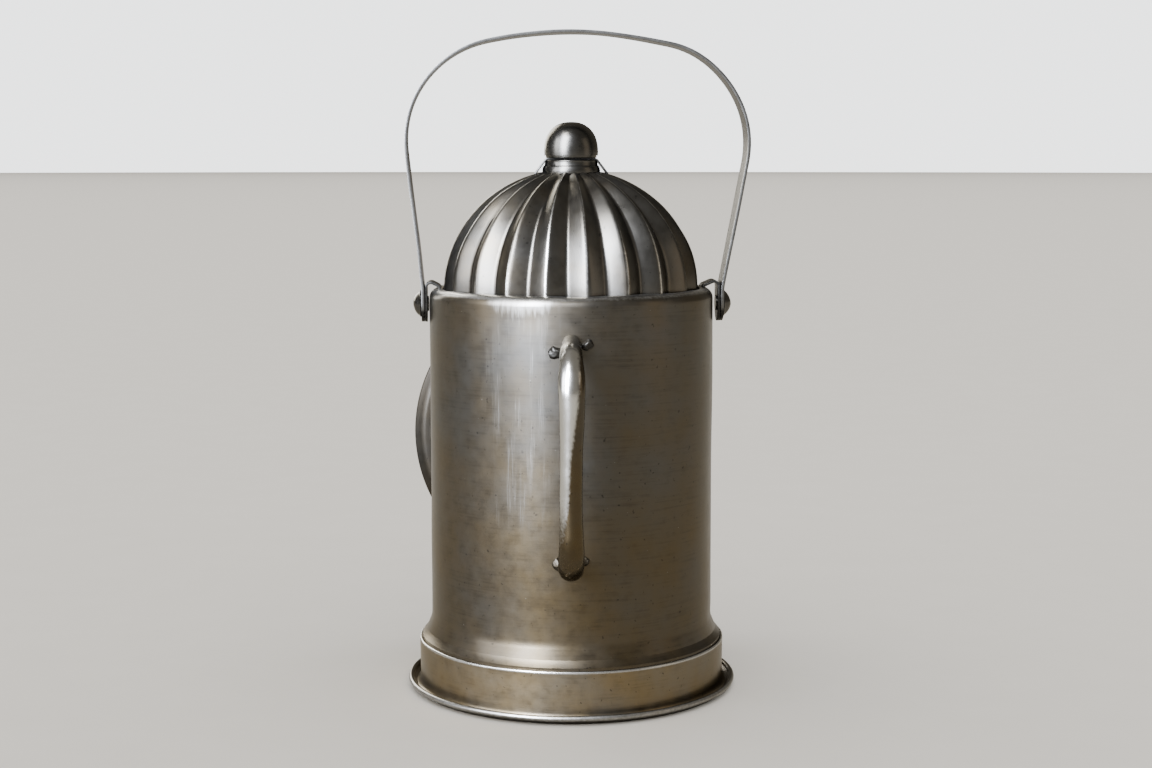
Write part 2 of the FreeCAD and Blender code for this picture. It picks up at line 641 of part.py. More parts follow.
def door_rivet_hole():
    return Part.makeCylinder(LEAF_RIVET_R, 8, Vector(DOOR_RIVET_X, -BEZEL_BACK + 4, DRUM_Z), FORWARD)


def hinge_leaf_door():
    half = KNUCKLE / 2
    barrel, bore = knuckle(PIN_R + BORE_GAP, DRUM_Z - half, DRUM_Z + half)
    plate = block(DOOR_RIVET_X - 2.6, HINGE_X, -BEZEL_BACK, -(BEZEL_BACK - LEAF_SHEET),
                  DRUM_Z - half, DRUM_Z + half)
    leaf = barrel.fuse(plate).removeSplitter().cut(bore)
    return leaf.cut(door_rivet_hole())


def door_rivet():
    return rivet(Vector(DOOR_RIVET_X, -BEZEL_FRONT, DRUM_Z), FORWARD, LEAF_RIVET_R, SHEET + LEAF_SHEET,
                 LEAF_RIVET_HEAD_R, LEAF_RIVET_RISE, LEAF_RIVET_HEAD_R * 0.8, LEAF_RIVET_TAIL)


def knob_hole():
    return Part.makeCylinder(KNOB_STEM_R / 2, 12, Vector(KNOB_X, -BEZEL_BACK + 6, DRUM_Z), FORWARD)


def door_knob():
    def place(r, y):
        return Vector(KNOB_X + r, -(BEZEL_FRONT + y), DRUM_Z)
    tail = SHEET + LEAF_SHEET
    stem = KNOB_STEM_R / 2
    start = (0, KNOB_LENGTH)
    steps = (((KNOB_R * 0.72, KNOB_LENGTH - 1.4), (KNOB_R, KNOB_LENGTH - 4.6)),
             ((KNOB_R * 0.86, KNOB_LENGTH - 6.8), (KNOB_STEM_R, KNOB_LENGTH - 8.0)),
             (KNOB_STEM_R, 1.2), (KNOB_R * 0.8, 0.8), (KNOB_R * 0.8, 0), (stem, 0), (stem, -tail),
             (stem + 0.9, -tail), (stem + 0.9, -tail - 0.7), (0, -tail - 0.7), start)
    face = Part.Face(Part.Wire(edges_through(start, steps, place)))
    return face.revolve(Vector(KNOB_X, 0, DRUM_Z), FORWARD, 360)


def catch_lug():
    foot = block(LUG_X, KNOB_X + 3.0, -BEZEL_BACK, -(BEZEL_BACK - LEAF_SHEET),
                 DRUM_Z - CATCH_HALF, DRUM_Z + CATCH_HALF)
    tongue = block(LUG_X, LUG_X + LEAF_SHEET, -BEZEL_BACK, -(BEZEL_BACK - LUG_LENGTH),
                   DRUM_Z - CATCH_HALF, DRUM_Z + CATCH_HALF)
    return foot.fuse(tongue).removeSplitter().cut(knob_hole())


def spring_rivet_hole():
    return Part.makeCylinder(LEAF_RIVET_R, 8, Vector(DRUM_R - 4, -SPRING_RIVET_Y, DRUM_Z), Vector(1, 0, 0))


def catch_spring():
    tip_x = LUG_X - SEAT_GAP
    foot_x = DRUM_R + SPRING_SHEET
    tip_y = BEZEL_BACK - 2.0
    outline = [(foot_x, SPRING_RIVET_Y - 5), (foot_x, SPRING_RIVET_Y + 4), (tip_x, tip_y - 5),
               (tip_x, tip_y), (tip_x - SPRING_SHEET, tip_y), (tip_x - SPRING_SHEET, tip_y - 5),
               (foot_x - 2 * SPRING_SHEET, SPRING_RIVET_Y + 4),
               (foot_x - 2 * SPRING_SHEET, SPRING_RIVET_Y - 5)]
    points = [Vector(x, -y, DRUM_Z - CATCH_HALF) for x, y in outline]
    strip_solid = Part.Face(Part.makePolygon(points + [points[0]])).extrude(UP * (2 * CATCH_HALF))
    return strip_solid.cut(drum_plug(DRUM_R, DRUM_MOUTH)).cut(spring_rivet_hole())


def catch_rivet():
    wall = math.sqrt(DRUM_BORE_R ** 2 - LEAF_RIVET_HEAD_R ** 2)
    face = DRUM_R + SPRING_SHEET
    whole = rivet(Vector(face, -SPRING_RIVET_Y, DRUM_Z), Vector(1, 0, 0), LEAF_RIVET_R, face - wall,
                  LEAF_RIVET_HEAD_R, LEAF_RIVET_RISE, LEAF_RIVET_HEAD_R, LEAF_RIVET_TAIL)
    return whole.cut(drum_ring())


# ---- candle seat --------------------------------------------------------

def candle_plate():
    floor = SHEET
    return turned((0, floor), (PAN_R, floor), (PAN_RIM_R, floor + PAN_RISE),
                  (PAN_RIM_R + 1.6, floor + PAN_RISE), (PAN_RIM_R + 1.6, floor + PAN_RISE + PAN_SHEET),
                  (PAN_RIM_R - 0.9, floor + PAN_RISE + PAN_SHEET), (PAN_R - 0.7, floor + PAN_SHEET),
                  (0, floor + PAN_SHEET))


def candle_spike():
    seat = SHEET + PAN_SHEET
    return turned((0, seat), (SPIKE_BASE_R, seat), (SPIKE_BASE_R, seat + SPIKE_BASE * 0.6),
                  (SPIKE_BASE_R - 1, seat + SPIKE_BASE), (SPIKE_R, seat + SPIKE_BASE),
                  (0, seat + SPIKE_BASE + SPIKE_RISE))


def main():
    parts = {
        "body_shell": body_shell(), "base_band": base_band(), "base_dish": base_dish(),
        "dome_roof": dome_roof(), "chimney_collar": chimney_collar(), "bridge_strap": bridge_strap(),
        "finial": finial(), "finial_screw": finial_screw(),
        "bail": bail(), "rear_handle": rear_handle(), "handle_welds": handle_welds(),
        "front_drum": front_drum(), "door_bezel": door_bezel(), "door_glass": door_glass(),
        "glass_snap_ring": glass_snap_ring(),
        "hinge_leaf_drum": hinge_leaf_drum(), "hinge_leaf_door": hinge_leaf_door(),
        "hinge_pin": hinge_pin(), "hinge_rivets": hinge_rivets(), "door_rivet": door_rivet(),
        "door_knob": door_knob(), "catch_lug": catch_lug(), "catch_spring": catch_spring(),
        "catch_rivet": catch_rivet(), "candle_plate": candle_plate(), "candle_spike": candle_spike(),
    }
    for name, side in SIDES:
        parts["ear_bracket_" + name] = ear_bracket(name, side)
        parts["bail_rivet_" + name] = bail_rivet(name, side)
    for name, shape in parts.items():
        save(name, shape)


main()
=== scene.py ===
import math

import bmesh
import bpy
from bpy.props import FloatProperty, FloatVectorProperty, IntProperty, PointerProperty
from mathutils import Matrix, Vector, noise


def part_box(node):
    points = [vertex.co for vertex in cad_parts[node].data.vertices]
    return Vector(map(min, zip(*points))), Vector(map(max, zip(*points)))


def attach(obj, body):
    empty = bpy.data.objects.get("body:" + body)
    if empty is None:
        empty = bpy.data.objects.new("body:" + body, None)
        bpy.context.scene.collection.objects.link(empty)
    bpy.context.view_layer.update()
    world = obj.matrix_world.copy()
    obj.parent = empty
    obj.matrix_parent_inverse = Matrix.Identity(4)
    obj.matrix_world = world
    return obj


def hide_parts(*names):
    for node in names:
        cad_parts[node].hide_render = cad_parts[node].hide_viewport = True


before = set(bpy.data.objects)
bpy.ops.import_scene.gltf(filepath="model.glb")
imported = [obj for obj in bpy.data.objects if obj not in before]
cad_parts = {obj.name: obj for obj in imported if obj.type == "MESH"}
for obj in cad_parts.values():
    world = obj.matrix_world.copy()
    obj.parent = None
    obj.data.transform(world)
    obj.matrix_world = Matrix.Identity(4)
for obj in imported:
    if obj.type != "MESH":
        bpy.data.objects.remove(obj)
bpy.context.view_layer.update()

bl_info = {
    "name": "Candle Lantern",
    "version": (1, 0, 0),
    "blender": (4, 5, 0),
    "location": "View3D > Sidebar > Lantern",
    "description": "Builds the looks of a pewtered sheet-metal candle lantern round its frame",
    "category": "Add Mesh",
}

MM = 0.001
CASE_RADIUS = 75 * MM
UP = Vector((0, 0, 1))
FORWARD = Vector((0, -1, 0))
FULL_TURN = 2 * math.pi
SEED = 7


def low(node):
    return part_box(node)[0]


def high(node):
    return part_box(node)[1]


PIVOT_Z = (low("bail_rivet_left").z + high("bail_rivet_left").z) / 2
DRUM_Z = (low("front_drum").z + high("front_drum").z) / 2
ROOF_BASE = high("body_shell").z


class LanternSizes(bpy.types.PropertyGroup):
    wall_radius: FloatProperty(
        name="Wall radius", description="Outside radius of the case wall", default=CASE_RADIUS,
        unit="LENGTH")
    sheet: FloatProperty(
        name="Sheet", description="Thickness of the case, band, dish and drum", default=0.0012,
        unit="LENGTH")
    shoulder_radius: FloatProperty(
        name="Shoulder radius", description="Roll at the top of the wall", default=0.005, unit="LENGTH")
    shoulder_wave: FloatProperty(
        name="Shoulder wave", description="How far the hand-rolled shoulder wanders", default=0.0004,
        unit="LENGTH")
    pleats: IntProperty(
        name="Pleats", description="Ridges round the roof", default=20, min=6)
    pleat_turn: FloatProperty(
        name="Pleat turn", description="Angle from +X to the first ridge", default=math.radians(4.8),
        subtype="ANGLE")
    pleat_depth: FloatProperty(
        name="Pleat depth", description="Depth of a pleat as a share of the ridge radius", default=0.075,
        subtype="FACTOR")
    crease: FloatProperty(
        name="Crease", description="Softness of ridges and valleys, as a share of a pleat", default=0.07,
        subtype="FACTOR")
    handle_turn: FloatProperty(
        name="Handle turn", description="Angle between the handle and the line of the door",
        default=math.radians(2.5), subtype="ANGLE")
    edge_round: FloatProperty(
        name="Edge round", description="Rounding of strap edges", default=0.00035, unit="LENGTH")


def colour(hex_value):
    """sRGB hex to linear red, green, blue, alpha."""
    channels = [((hex_value >> shift) & 255) / 255 for shift in (16, 8, 0)]
    linear = [c / 12.92 if c <= 0.04045 else ((c + 0.055) / 1.055) ** 2.4 for c in channels]
    return (*linear, 1.0)


def tint(name, hex_value, description):
    return FloatVectorProperty(name=name, description=description, size=3, min=0.0, max=1.0, subtype="COLOR",
                               default=colour(hex_value)[:3])


class LanternColours(bpy.types.PropertyGroup):
    wash: tint("Wash", 0x403E39, "Grey-brown pewter wash over the sheet")
    # Shade is a brown patina; its share towards the foot also stands in for a painted warm reflection from
    # below
    shade: tint("Shade", 0x47391C, "Brown shading towards the foot")
    # Bare also colours the painted highlights on the grip and on the lit side of the shoulder
    bare: tint("Bare", 0xA9A7A0, "Metal rubbed clear along edges")
    steel: tint("Steel", 0xB4B4B2, "Spring wire")


# ---- mesh helpers -------------------------------------------------------

def arc(centre, radius, start, end, count):
    """Points on an arc, angles in degrees, both ends included."""
    points = []
    for i in range(count + 1):
        angle = math.radians(start + (end - start) * i / count)
        points.append((centre[0] + radius * math.cos(angle), centre[1] + radius * math.sin(angle)))
    return points


def rows(start, end, count):
    """Points spread evenly on a line, both ends included."""
    return [tuple(a + (b - a) * i / count for a, b in zip(start, end)) for i in range(count + 1)]


def outline(bm, points, place, closed=True):
    verts = [bm.verts.new(place(*point)) for point in points]
    pairs = zip(verts, verts[1:] + verts[:1]) if closed else zip(verts, verts[1:])
    edges = [bm.edges.new(pair) for pair in pairs]
    return verts + edges


def turned(bm, points, steps=192, closed=True):
    """Spin (radius, height) points round the case axis."""
    geom = outline(bm, points, lambda r, z: Vector((r, 0, z)), closed)
    spin(bm, geom, Vector((0, 0, 0)), UP, steps)


def turned_on_drum(bm, points, steps=160, closed=True):
    """Spin (radius, distance in front) points round the drum's axis."""
    geom = outline(bm, points, lambda r, y: Vector((r, -y, DRUM_Z)), closed)
    spin(bm, geom, Vector((0, 0, DRUM_Z)), FORWARD, steps)


def spin(bm, geom, centre, axis, steps):
    bmesh.ops.spin(bm, geom=geom, cent=centre, axis=axis, angle=FULL_TURN, steps=steps, use_merge=True,
                   use_normal_flip=False, use_duplicate=False)
    bmesh.ops.remove_doubles(bm, verts=bm.verts, dist=1e-6)
    bmesh.ops.dissolve_degenerate(bm, dist=1e-7, edges=bm.edges)
    bmesh.ops.recalc_face_normals(bm, faces=bm.faces)


def bent_strip(bm, path, width, thickness, across=4):
    """Strip whose middle follows (x, z) points; width(run, whole run) is its full width there."""
    run = [0.0]
    for a, b in zip(path, path[1:]):
        run.append(run[-1] + math.dist(a, b))
    along, chains = {}, []
    for side in (0.5, -0.5):
        verts = []
        for i, (x, z) in enumerate(path):
            (x0, z0), (x1, z1) = path[max(i - 1, 0)], path[min(i + 1, len(path) - 1)]
            length = math.dist((x0, z0), (x1, z1))
            shift = side * thickness / length
            verts.append(bm.verts.new((x + (z1 - z0) * shift, -0.5, z - (x1 - x0) * shift)))
            along[key_of(verts[-1])] = run[i]
        chains += [bm.edges.new(pair) for pair in zip(verts, verts[1:])]
    region = bmesh.ops.bridge_loops(bm, edges=chains)["faces"]
    for _ in range(across):
        new = bmesh.ops.extrude_face_region(bm, geom=region)["geom"]
        moved = [item for item in new if isinstance(item, bmesh.types.BMVert)]
        bmesh.ops.translate(bm, verts=moved, vec=(0, 1 / across, 0))
        region = [item for item in new if isinstance(item, bmesh.types.BMFace)]
    for vert in bm.verts:
        vert.co.y *= width(along[key_of(vert)], run[-1])
    bmesh.ops.recalc_face_normals(bm, faces=bm.faces)


def key_of(vert):
    return round(vert.co.x, 7), round(vert.co.z, 7)


def round_end(reach, both=True):
    """Width of a strip with half-round ends of the given radius."""
    def width(run, whole):
        end = min(run, whole - run) if both else whole - run
        if end >= reach:
            return 2 * reach
        return 2 * math.sqrt(max(reach ** 2 - (reach - end) ** 2, (0.12 * reach) ** 2))
    return width


def soften(bm, width, segments=2, over=40):
    """Round the edges that turn by more than the given angle."""
    sharp = [edge for edge in bm.edges if edge.is_manifold and edge.calc_face_angle() > math.radians(over)]
    bmesh.ops.bevel(bm, geom=sharp, offset=width, offset_type="OFFSET", segments=segments, profile=0.5,
                    affect="EDGES", material=-1, clamp_overlap=True)


def wander(bm, amount, size, share, seed=0.0):
    """Push vertices about smoothly, as handwork leaves them; share(co) scales the push."""
    offset = Vector((seed, seed * 1.7, seed * 0.6))
    for vert in bm.verts:
        weight = share(vert.co)
        if weight > 0:
            push = noise.noise_vector(vert.co / size + offset)
            vert.co += push * amount * weight


def carve(piece, cutter_bm):
    """Take a shape away from a piece for good."""
    mesh = bpy.data.meshes.new("cutter")
    cutter_bm.to_mesh(mesh)
    cutter_bm.free()
    cutter = bpy.data.objects.new("cutter", mesh)
    bpy.context.collection.objects.link(cutter)
    cut = piece.modifiers.new("cut", "BOOLEAN")
    cut.operation = "DIFFERENCE"
    cut.solver = "EXACT"
    cut.object = cutter
    depsgraph = bpy.context.evaluated_depsgraph_get()
    new_mesh = bpy.data.meshes.new_from_object(piece.evaluated_get(depsgraph))
    piece.modifiers.clear()
    piece.data = new_mesh
    bpy.data.objects.remove(cutter)


def rod(bm, path, section, sides=28):
    """Tube along a smooth path; section(t) gives (half width, half depth), both ends closed."""
    count = len(path)
    ring = bmesh.ops.create_circle(bm, cap_ends=True, segments=sides, radius=1.0)["verts"]
    caps = list({face for vert in ring for face in vert.link_faces})
    edges = list({edge for vert in ring for edge in vert.link_edges})
    rings = [ring]
    for _ in range(count - 1):
        new = bmesh.ops.extrude_edge_only(bm, edges=edges)["geom"]
        ring = [item for item in new if isinstance(item, bmesh.types.BMVert)]
        edges = [item for item in new if isinstance(item, bmesh.types.BMEdge)]
        rings.append(ring)
    bmesh.ops.contextual_create(bm, geom=edges)
    for i, ring in enumerate(rings):
        ahead = (path[min(i + 1, count - 1)] - path[max(i - 1, 0)]).normalized()
        side = Vector((1, 0, 0))
        out = side.cross(ahead)
        half_width, half_depth = section(i / (count - 1))
        for vert in ring:
            vert.co = path[i] + side * (vert.co.x * half_width) + out * (vert.co.y * half_depth)
    bmesh.ops.recalc_face_normals(bm, faces=bm.faces)
    return caps


def smooth_path(corners, radii, steps=10):
    """3-D polyline with rounded inner corners, sampled finely."""
    points = [corners[0]]
    for i in range(1, len(corners) - 1):
        back = (corners[i - 1] - corners[i]).normalized()
        ahead = (corners[i + 1] - corners[i]).normalized()
        half = back.angle(ahead) / 2
        run = radii[i - 1] / math.tan(half)
        centre = corners[i] + (back + ahead).normalized() * (radii[i - 1] / math.sin(half))
        start = corners[i] + back * run - centre
        end = corners[i] + ahead * run - centre
        for k in range(steps + 1):
            points.append(centre + start.slerp(end, k / steps).normalized() * radii[i - 1])
    points.append(corners[-1])
    dense = []
    for a, b in zip(points, points[1:]):
        parts = max(1, round((b - a).length / (4 * MM)))
        dense += [a.lerp(b, k / parts) for k in range(parts)]
    return dense + [points[-1]]


def in_side_view(corners, radii, steps=14):
    """Rounded path through (x, z) corners."""
    flat = smooth_path([Vector((x, 0, z)) for x, z in corners], radii, steps)
    return [(point.x, point.z) for point in flat]


def rise_to(value, start, end):
    """0 at start, 1 at end, straight between."""
    return max(0.0, min(1.0, (value - start) / (end - start)))


def between(keys, t):
    """Smooth value at t from (place, value) keys."""
    for (t0, v0), (t1, v1) in zip(keys, keys[1:]):
        if t <= t1:
            share = 0.5 - 0.5 * math.cos(math.pi * (t - t0) / (t1 - t0))
            return v0 + (v1 - v0) * share
    return keys[-1][1]


def piece(name, bm, material, body, slot, nodes, crisp=35, worn=None):
    """Finish a mesh: mark its wear and painted highlights, shade it, give it its material, tie it to the
    frame.
    """
    bmesh.ops.recalc_face_normals(bm, faces=bm.faces)
    if worn:
        layer = bm.verts.layers.float.new("wear")
        for vert in bm.verts:
            vert[layer] = worn(vert.co)
    for face in bm.faces:
        face.smooth = True
    for edge in bm.edges:
        edge.smooth = not edge.is_manifold or edge.calc_face_angle() < math.radians(crisp)
    mesh = bpy.data.meshes.new(name)
    bm.to_mesh(mesh)
    bm.free()
    made = bpy.data.objects.new(name, mesh)
    bpy.context.collection.objects.link(made)
    mesh.materials.append(material)
    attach(made, body)
    if nodes:
        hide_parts(*nodes)
    return made


# ---- materials ----------------------------------------------------------

ADD = {"operation": "ADD"}
ADD_CLAMPED = {"operation": "ADD", "use_clamp": True}
SUBTRACT = {"operation": "SUBTRACT"}
SUBTRACT_CLAMPED = {"operation": "SUBTRACT", "use_clamp": True}
MULTIPLY = {"operation": "MULTIPLY"}
MULTIPLY_ADD = {"operation": "MULTIPLY_ADD"}
MAXIMUM = {"operation": "MAXIMUM"}
ABSOLUTE = {"operation": "ABSOLUTE"}
ARCTAN2 = {"operation": "ARCTAN2"}
SMOOTH = {"interpolation_type": "SMOOTHSTEP"}
COLOURS = {"data_type": "RGBA"}
COLOURS_MULTIPLIED = {"data_type": "RGBA", "blend_type": "MULTIPLY"}


def node(tree, kind, settings=None, **links):
    """Add a shader node, set its fields, and set or link its inputs: in0 is the first one, and a name has
    its spaces written as _. A node given as an input links its first output."""
    made = tree.nodes.new("ShaderNode" + kind)
    for field, value in (settings or {}).items():
        setattr(made, field, value)
    for name, value in links.items():
        key = int(name[2:]) if name.startswith("in") and name[2:].isdigit() else name.replace("_", " ")
        if isinstance(value, bpy.types.Node):
            value = value.outputs[0]
        if isinstance(value, bpy.types.NodeSocket):
            tree.links.new(value, made.inputs[key])
        else:
            made.inputs[key].default_value = value
    return made


def new_material(name):
    material = bpy.data.materials.new(name)
    material.use_nodes = True
    tree = material.node_tree
    tree.nodes.clear()
    shader = node(tree, "BsdfPrincipled")
    node(tree, "OutputMaterial", None, Surface=shader)
    return material, tree, shader


def round_the_axis(tree, around, along):
    """Vector for a pattern that runs round the case: arc length / around, height / along."""
    where = node(tree, "TexCoord").outputs["Object"]
    split = node(tree, "SeparateXYZ", None, Vector=where)
    angle = node(tree, "Math", ARCTAN2, in0=split.outputs[0], in1=split.outputs[1])
    arc_length = node(tree, "Math", MULTIPLY, in0=angle, in1=CASE_RADIUS / around)
    height = node(tree, "Math", MULTIPLY, in0=split.outputs[2], in1=1 / along)
    return node(tree, "CombineXYZ", None, X=arc_length, Y=height).outputs[0]


def shaded(name, share):
    """A colour of the Colours group, made lighter or darker."""
    held = getattr(bpy.context.scene.lantern_colours, name)
    return (*(min(1.0, channel * share) for channel in held), 1.0)


def pewter_wash(name, light=1.0, browner=0.0, rough=0.36, worn=(0.3, 0.9), lined=0.0, broken=0.6,
                bare_light=1.0, extra=None):
    """Dark wash and wax over tinned sheet. A dim metal whose sheen stays clear, brown where the wash pooled
    and towards the foot, where it also stands in for a painted warm reflection from below, bright where it
    is rubbed through or where a painted highlight is laid on as rubbed metal; extra(tree, split) adds rubbed
    places of its own."""
    material, tree, shader = new_material(name)
    where = node(tree, "TexCoord").outputs["Object"]
    split = node(tree, "SeparateXYZ", None, Vector=where)
    cloud = node(tree, "TexNoise", None, Vector=where, Scale=1 / (34 * MM), Detail=4, Roughness=0.55)
    blotch = node(tree, "TexNoise", None, Vector=where, Scale=1 / (7 * MM), Detail=4, Roughness=0.6)
    fine = node(tree, "TexNoise", None, Vector=where, Scale=1 / (1.6 * MM), Detail=4, Roughness=0.65)
    # the wash is browner in clouds and towards the foot; the browning towards the foot is partly patina and
    # partly a painted warm reflection from below
    foot = node(tree, "MapRange", SMOOTH, Value=split.outputs[2], From_Min=170 * MM, From_Max=60 * MM)
    foot_patina_and_warm_reflection = node(tree, "Math", MULTIPLY, in0=foot, in1=0.28)
    brown = node(tree, "Math", MULTIPLY_ADD, in0=cloud, in1=1.3, in2=browner - 0.45)
    brown = node(tree, "Math", ADD_CLAMPED, in0=brown, in1=foot_patina_and_warm_reflection)
    base = node(tree, "Mix", COLOURS, in0=brown, in6=shaded("wash", light), in7=shaded("shade", light))
    # mottling, then the lines a brush leaves round the case, then pits
    tone = node(tree, "Math", MULTIPLY_ADD, in0=blotch, in1=0.6, in2=0.7)
    relief = node(tree, "Math", MULTIPLY, in0=fine, in1=0.5)
    if lined:
        round_case = round_the_axis(tree, 40 * MM, 1.4 * MM)
        brushed = node(tree, "TexNoise", None, Vector=round_case, Scale=1.0, Detail=4, Roughness=0.65)
        line = node(tree, "Math", SUBTRACT, in0=brushed, in1=0.5)
        tone = node(tree, "Math", MULTIPLY_ADD, in0=line, in1=lined, in2=tone)
        relief = node(tree, "Math", MULTIPLY_ADD, in0=brushed, in1=0.4, in2=relief)
    dots = node(tree, "TexNoise", None, Vector=where, Scale=1 / (2.2 * MM), Detail=1, Roughness=0.55)
    pit = node(tree, "MapRange", SMOOTH, Value=dots, From_Min=0.71, From_Max=0.76)
    pit = node(tree, "Math", MULTIPLY, in0=pit, in1=0.45)
    tone = node(tree, "Math", SUBTRACT_CLAMPED, in0=tone, in1=pit)
    grey = node(tree, "CombineColor", None, Red=tone, Green=tone, Blue=tone)
    base = node(tree, "Mix", COLOURS_MULTIPLIED, in0=1.0, in6=base.outputs[2], in7=grey)
    # bare metal where the piece is worn, and painted highlights laid on as bare metal, with a broken edge
    wear = node(tree, "Attribute", {"attribute_name": "wear"}).outputs["Fac"]
    ragged = node(tree, "Math", SUBTRACT, in0=fine, in1=0.5)
    ragged = node(tree, "Math", MULTIPLY_ADD, in0=ragged, in1=broken, in2=wear)
    bare = node(tree, "MapRange", SMOOTH, Value=ragged, From_Min=worn[0], From_Max=worn[1])
    if extra:
        bare = node(tree, "Math", MAXIMUM, in0=bare, in1=extra(tree, split))
    base = node(tree, "Mix", COLOURS, in0=bare, in6=base.outputs[2], in7=shaded("bare", bare_light))
    tree.links.new(base.outputs[2], shader.inputs["Base Color"])
    shader.inputs["Metallic"].default_value = 1.0
    dull = node(tree, "Math", MULTIPLY_ADD, in0=blotch, in1=0.16, in2=rough - 0.08)
    dull = node(tree, "Math", MULTIPLY_ADD, in0=bare, in1=-0.06, in2=dull)
    tree.links.new(dull.outputs[0], shader.inputs["Roughness"])
    # the wash stays dim where it is seen edge-on, as bare metal would not
    shader.inputs["Specular Tint"].default_value = colour(0xD3D0C9)
    shader.inputs["Coat Weight"].default_value = 0.18
    shader.inputs["Coat Roughness"].default_value = 0.3
    bump = node(tree, "Bump", None, Strength=0.28, Distance=0.1 * MM, Height=relief)
    tree.links.new(bump.outputs[0], shader.inputs["Normal"])
    return material


FINISHES = {}


def material_once(build):
    """The material that build makes, made once. It is kept here and not looked up by name, because the
    frame holds plain materials of its own."""
    if build not in FINISHES:
        FINISHES[build] = build(build.__name__)
    return FINISHES[build]


def rubbed_wall(tree, split):
    """Soft upright scuffs with fine scratches in them on one side of the grip, a few stray specks."""
    angle = node(tree, "Math", ARCTAN2, in0=split.outputs[0], in1=split.outputs[1])
    off_middle = node(tree, "Math", SUBTRACT, in0=angle, in1=math.radians(22))
    off_middle = node(tree, "Math", ABSOLUTE, in0=off_middle)
    near = node(tree, "MapRange", SMOOTH, Value=off_middle, From_Min=math.radians(20),
                From_Max=math.radians(5))
    # scuffs, high on the wall
    above = node(tree, "MapRange", SMOOTH, Value=split.outputs[2], From_Min=75 * MM, From_Max=125 * MM)
    patch = node(tree, "TexNoise", None, Vector=round_the_axis(tree, 5 * MM, 48 * MM), Scale=1.0,
                 Detail=3, Roughness=0.6)
    patch = node(tree, "MapRange", SMOOTH, Value=patch, From_Min=0.47, From_Max=0.68)
    patch = node(tree, "Math", MULTIPLY, in0=patch, in1=above)
    scratch = node(tree, "TexNoise", None, Vector=round_the_axis(tree, 0.3 * MM, 24 * MM), Scale=1.0,
                   Detail=3, Roughness=0.65)
    scratch = node(tree, "MapRange", SMOOTH, Value=scratch, From_Min=0.5, From_Max=0.72)
    scratch = node(tree, "Math", MULTIPLY_ADD, in0=scratch, in1=0.34, in2=0.04)
    scuff = node(tree, "Math", MULTIPLY, in0=scratch, in1=patch)
    scuff = node(tree, "Math", MULTIPLY, in0=scuff, in1=near)
    # the rubbed shoulder, which reaches down the wall in uneven streaks
    streak = node(tree, "TexNoise", None, Vector=round_the_axis(tree, 1.6 * MM, 18 * MM), Scale=1.0,
                  Detail=4, Roughness=0.65)
    reach = node(tree, "Math", MULTIPLY, in0=near, in1=19 * MM)
    height = node(tree, "Math", MULTIPLY_ADD, in0=streak, in1=reach, in2=split.outputs[2])
    rim = node(tree, "MapRange", SMOOTH, Value=height, From_Min=ROOF_BASE - 1.5 * MM,
               From_Max=ROOF_BASE + 6 * MM)
    rim = node(tree, "Math", MULTIPLY, in0=rim, in1=0.45)
    speck = node(tree, "TexNoise", None, Vector=round_the_axis(tree, 1.3 * MM, 1.6 * MM), Scale=1.0,
                 Detail=1, Roughness=0.55)
    speck = node(tree, "MapRange", SMOOTH, Value=speck, From_Min=0.8, From_Max=0.84)
    speck = node(tree, "Math", MULTIPLY, in0=speck, in1=0.5)
    rubbed = node(tree, "Math", MAXIMUM, in0=scuff, in1=rim)
    return node(tree, "Math", MAXIMUM, in0=rubbed, in1=speck)


def pewtered_wall(name):
    """Sheet iron rolled into a tube, washed, then rubbed back: soft sheen, upright scratches."""
    return pewter_wash(name, light=1.15, lined=0.9, rough=0.34, extra=rubbed_wall)


def rubbed_band(name):
    """The pressed band at the foot: its wash is thinned by handling, so the metal shows warm through it."""
    return pewter_wash(name, light=2.5, browner=0.0, rough=0.34, lined=0.7, broken=0.4)


def washed_dish(name):
    """The dish, made nearly black as painted shade in its hollow, rubbed only along its rolled rim."""
    # light=0.5 darkens the whole dish: painted shade
    return pewter_wash(name, light=0.5, browner=0.05, rough=0.36, broken=0.35, bare_light=1.0)


def door_wash(name):
    """The door and drum, dull and much darker than the wall, pale only on the rolled edges."""
    return pewter_wash(name, light=0.35, browner=-0.1, rough=0.45, lined=0.15, broken=0.35)


def pressed_roof(name):
    """Deep-pressed sheet, the wash thinner and rubbed off every ridge."""
    return pewter_wash(name, light=1.35, browner=-0.15, rough=0.31, worn=(0.35, 0.95), broken=0.8)


def turned_pewter(name):
    """Turned casting, burnished: a clearer reflection than the sheet."""
    return pewter_wash(name, light=1.05, browner=-0.45, rough=0.27, bare_light=1.0)


def cold_rolled_strap(name):
    """Cold-rolled strap, nearly black wash, lighter along its edges."""
    return pewter_wash(name, light=0.36, browner=-0.6, rough=0.38, worn=(0.3, 1.0), bare_light=0.32)


def gripped_rod(name):
    """Bent rod, bare on the lit side of its upper half as a painted highlight, with brown wash left in its
    lower half.
    """
    return pewter_wash(name, light=0.95, browner=0.3, rough=0.26, worn=(0.25, 0.85), broken=0.7,
                       bare_light=1.15)


def dark_hardware(name):
    """Small stamped fittings and weld beads under the same wash, left duller."""
    return pewter_wash(name, light=0.5, browner=-0.1, rough=0.5)


def tempered_wire(name):
    """Bare tempered wire: clean grey metal with fine drawing lines."""
    material, tree, shader = new_material(name)
    where = node(tree, "TexCoord").outputs["Object"]
    drawn = node(tree, "TexNoise", None, Vector=where, Scale=1 / (0.9 * MM), Detail=3, Roughness=0.55)
    tone = node(tree, "Mix", COLOURS, in0=drawn, in6=shaded("steel", 0.8), in7=shaded("steel", 1.1))
    tree.links.new(tone.outputs[2], shader.inputs["Base Color"])
    shader.inputs["Metallic"].default_value = 1.0
    dull = node(tree, "Math", MULTIPLY_ADD, in0=drawn, in1=0.15, in2=0.2)
    tree.links.new(dull.outputs[0], shader.inputs["Roughness"])
    return material


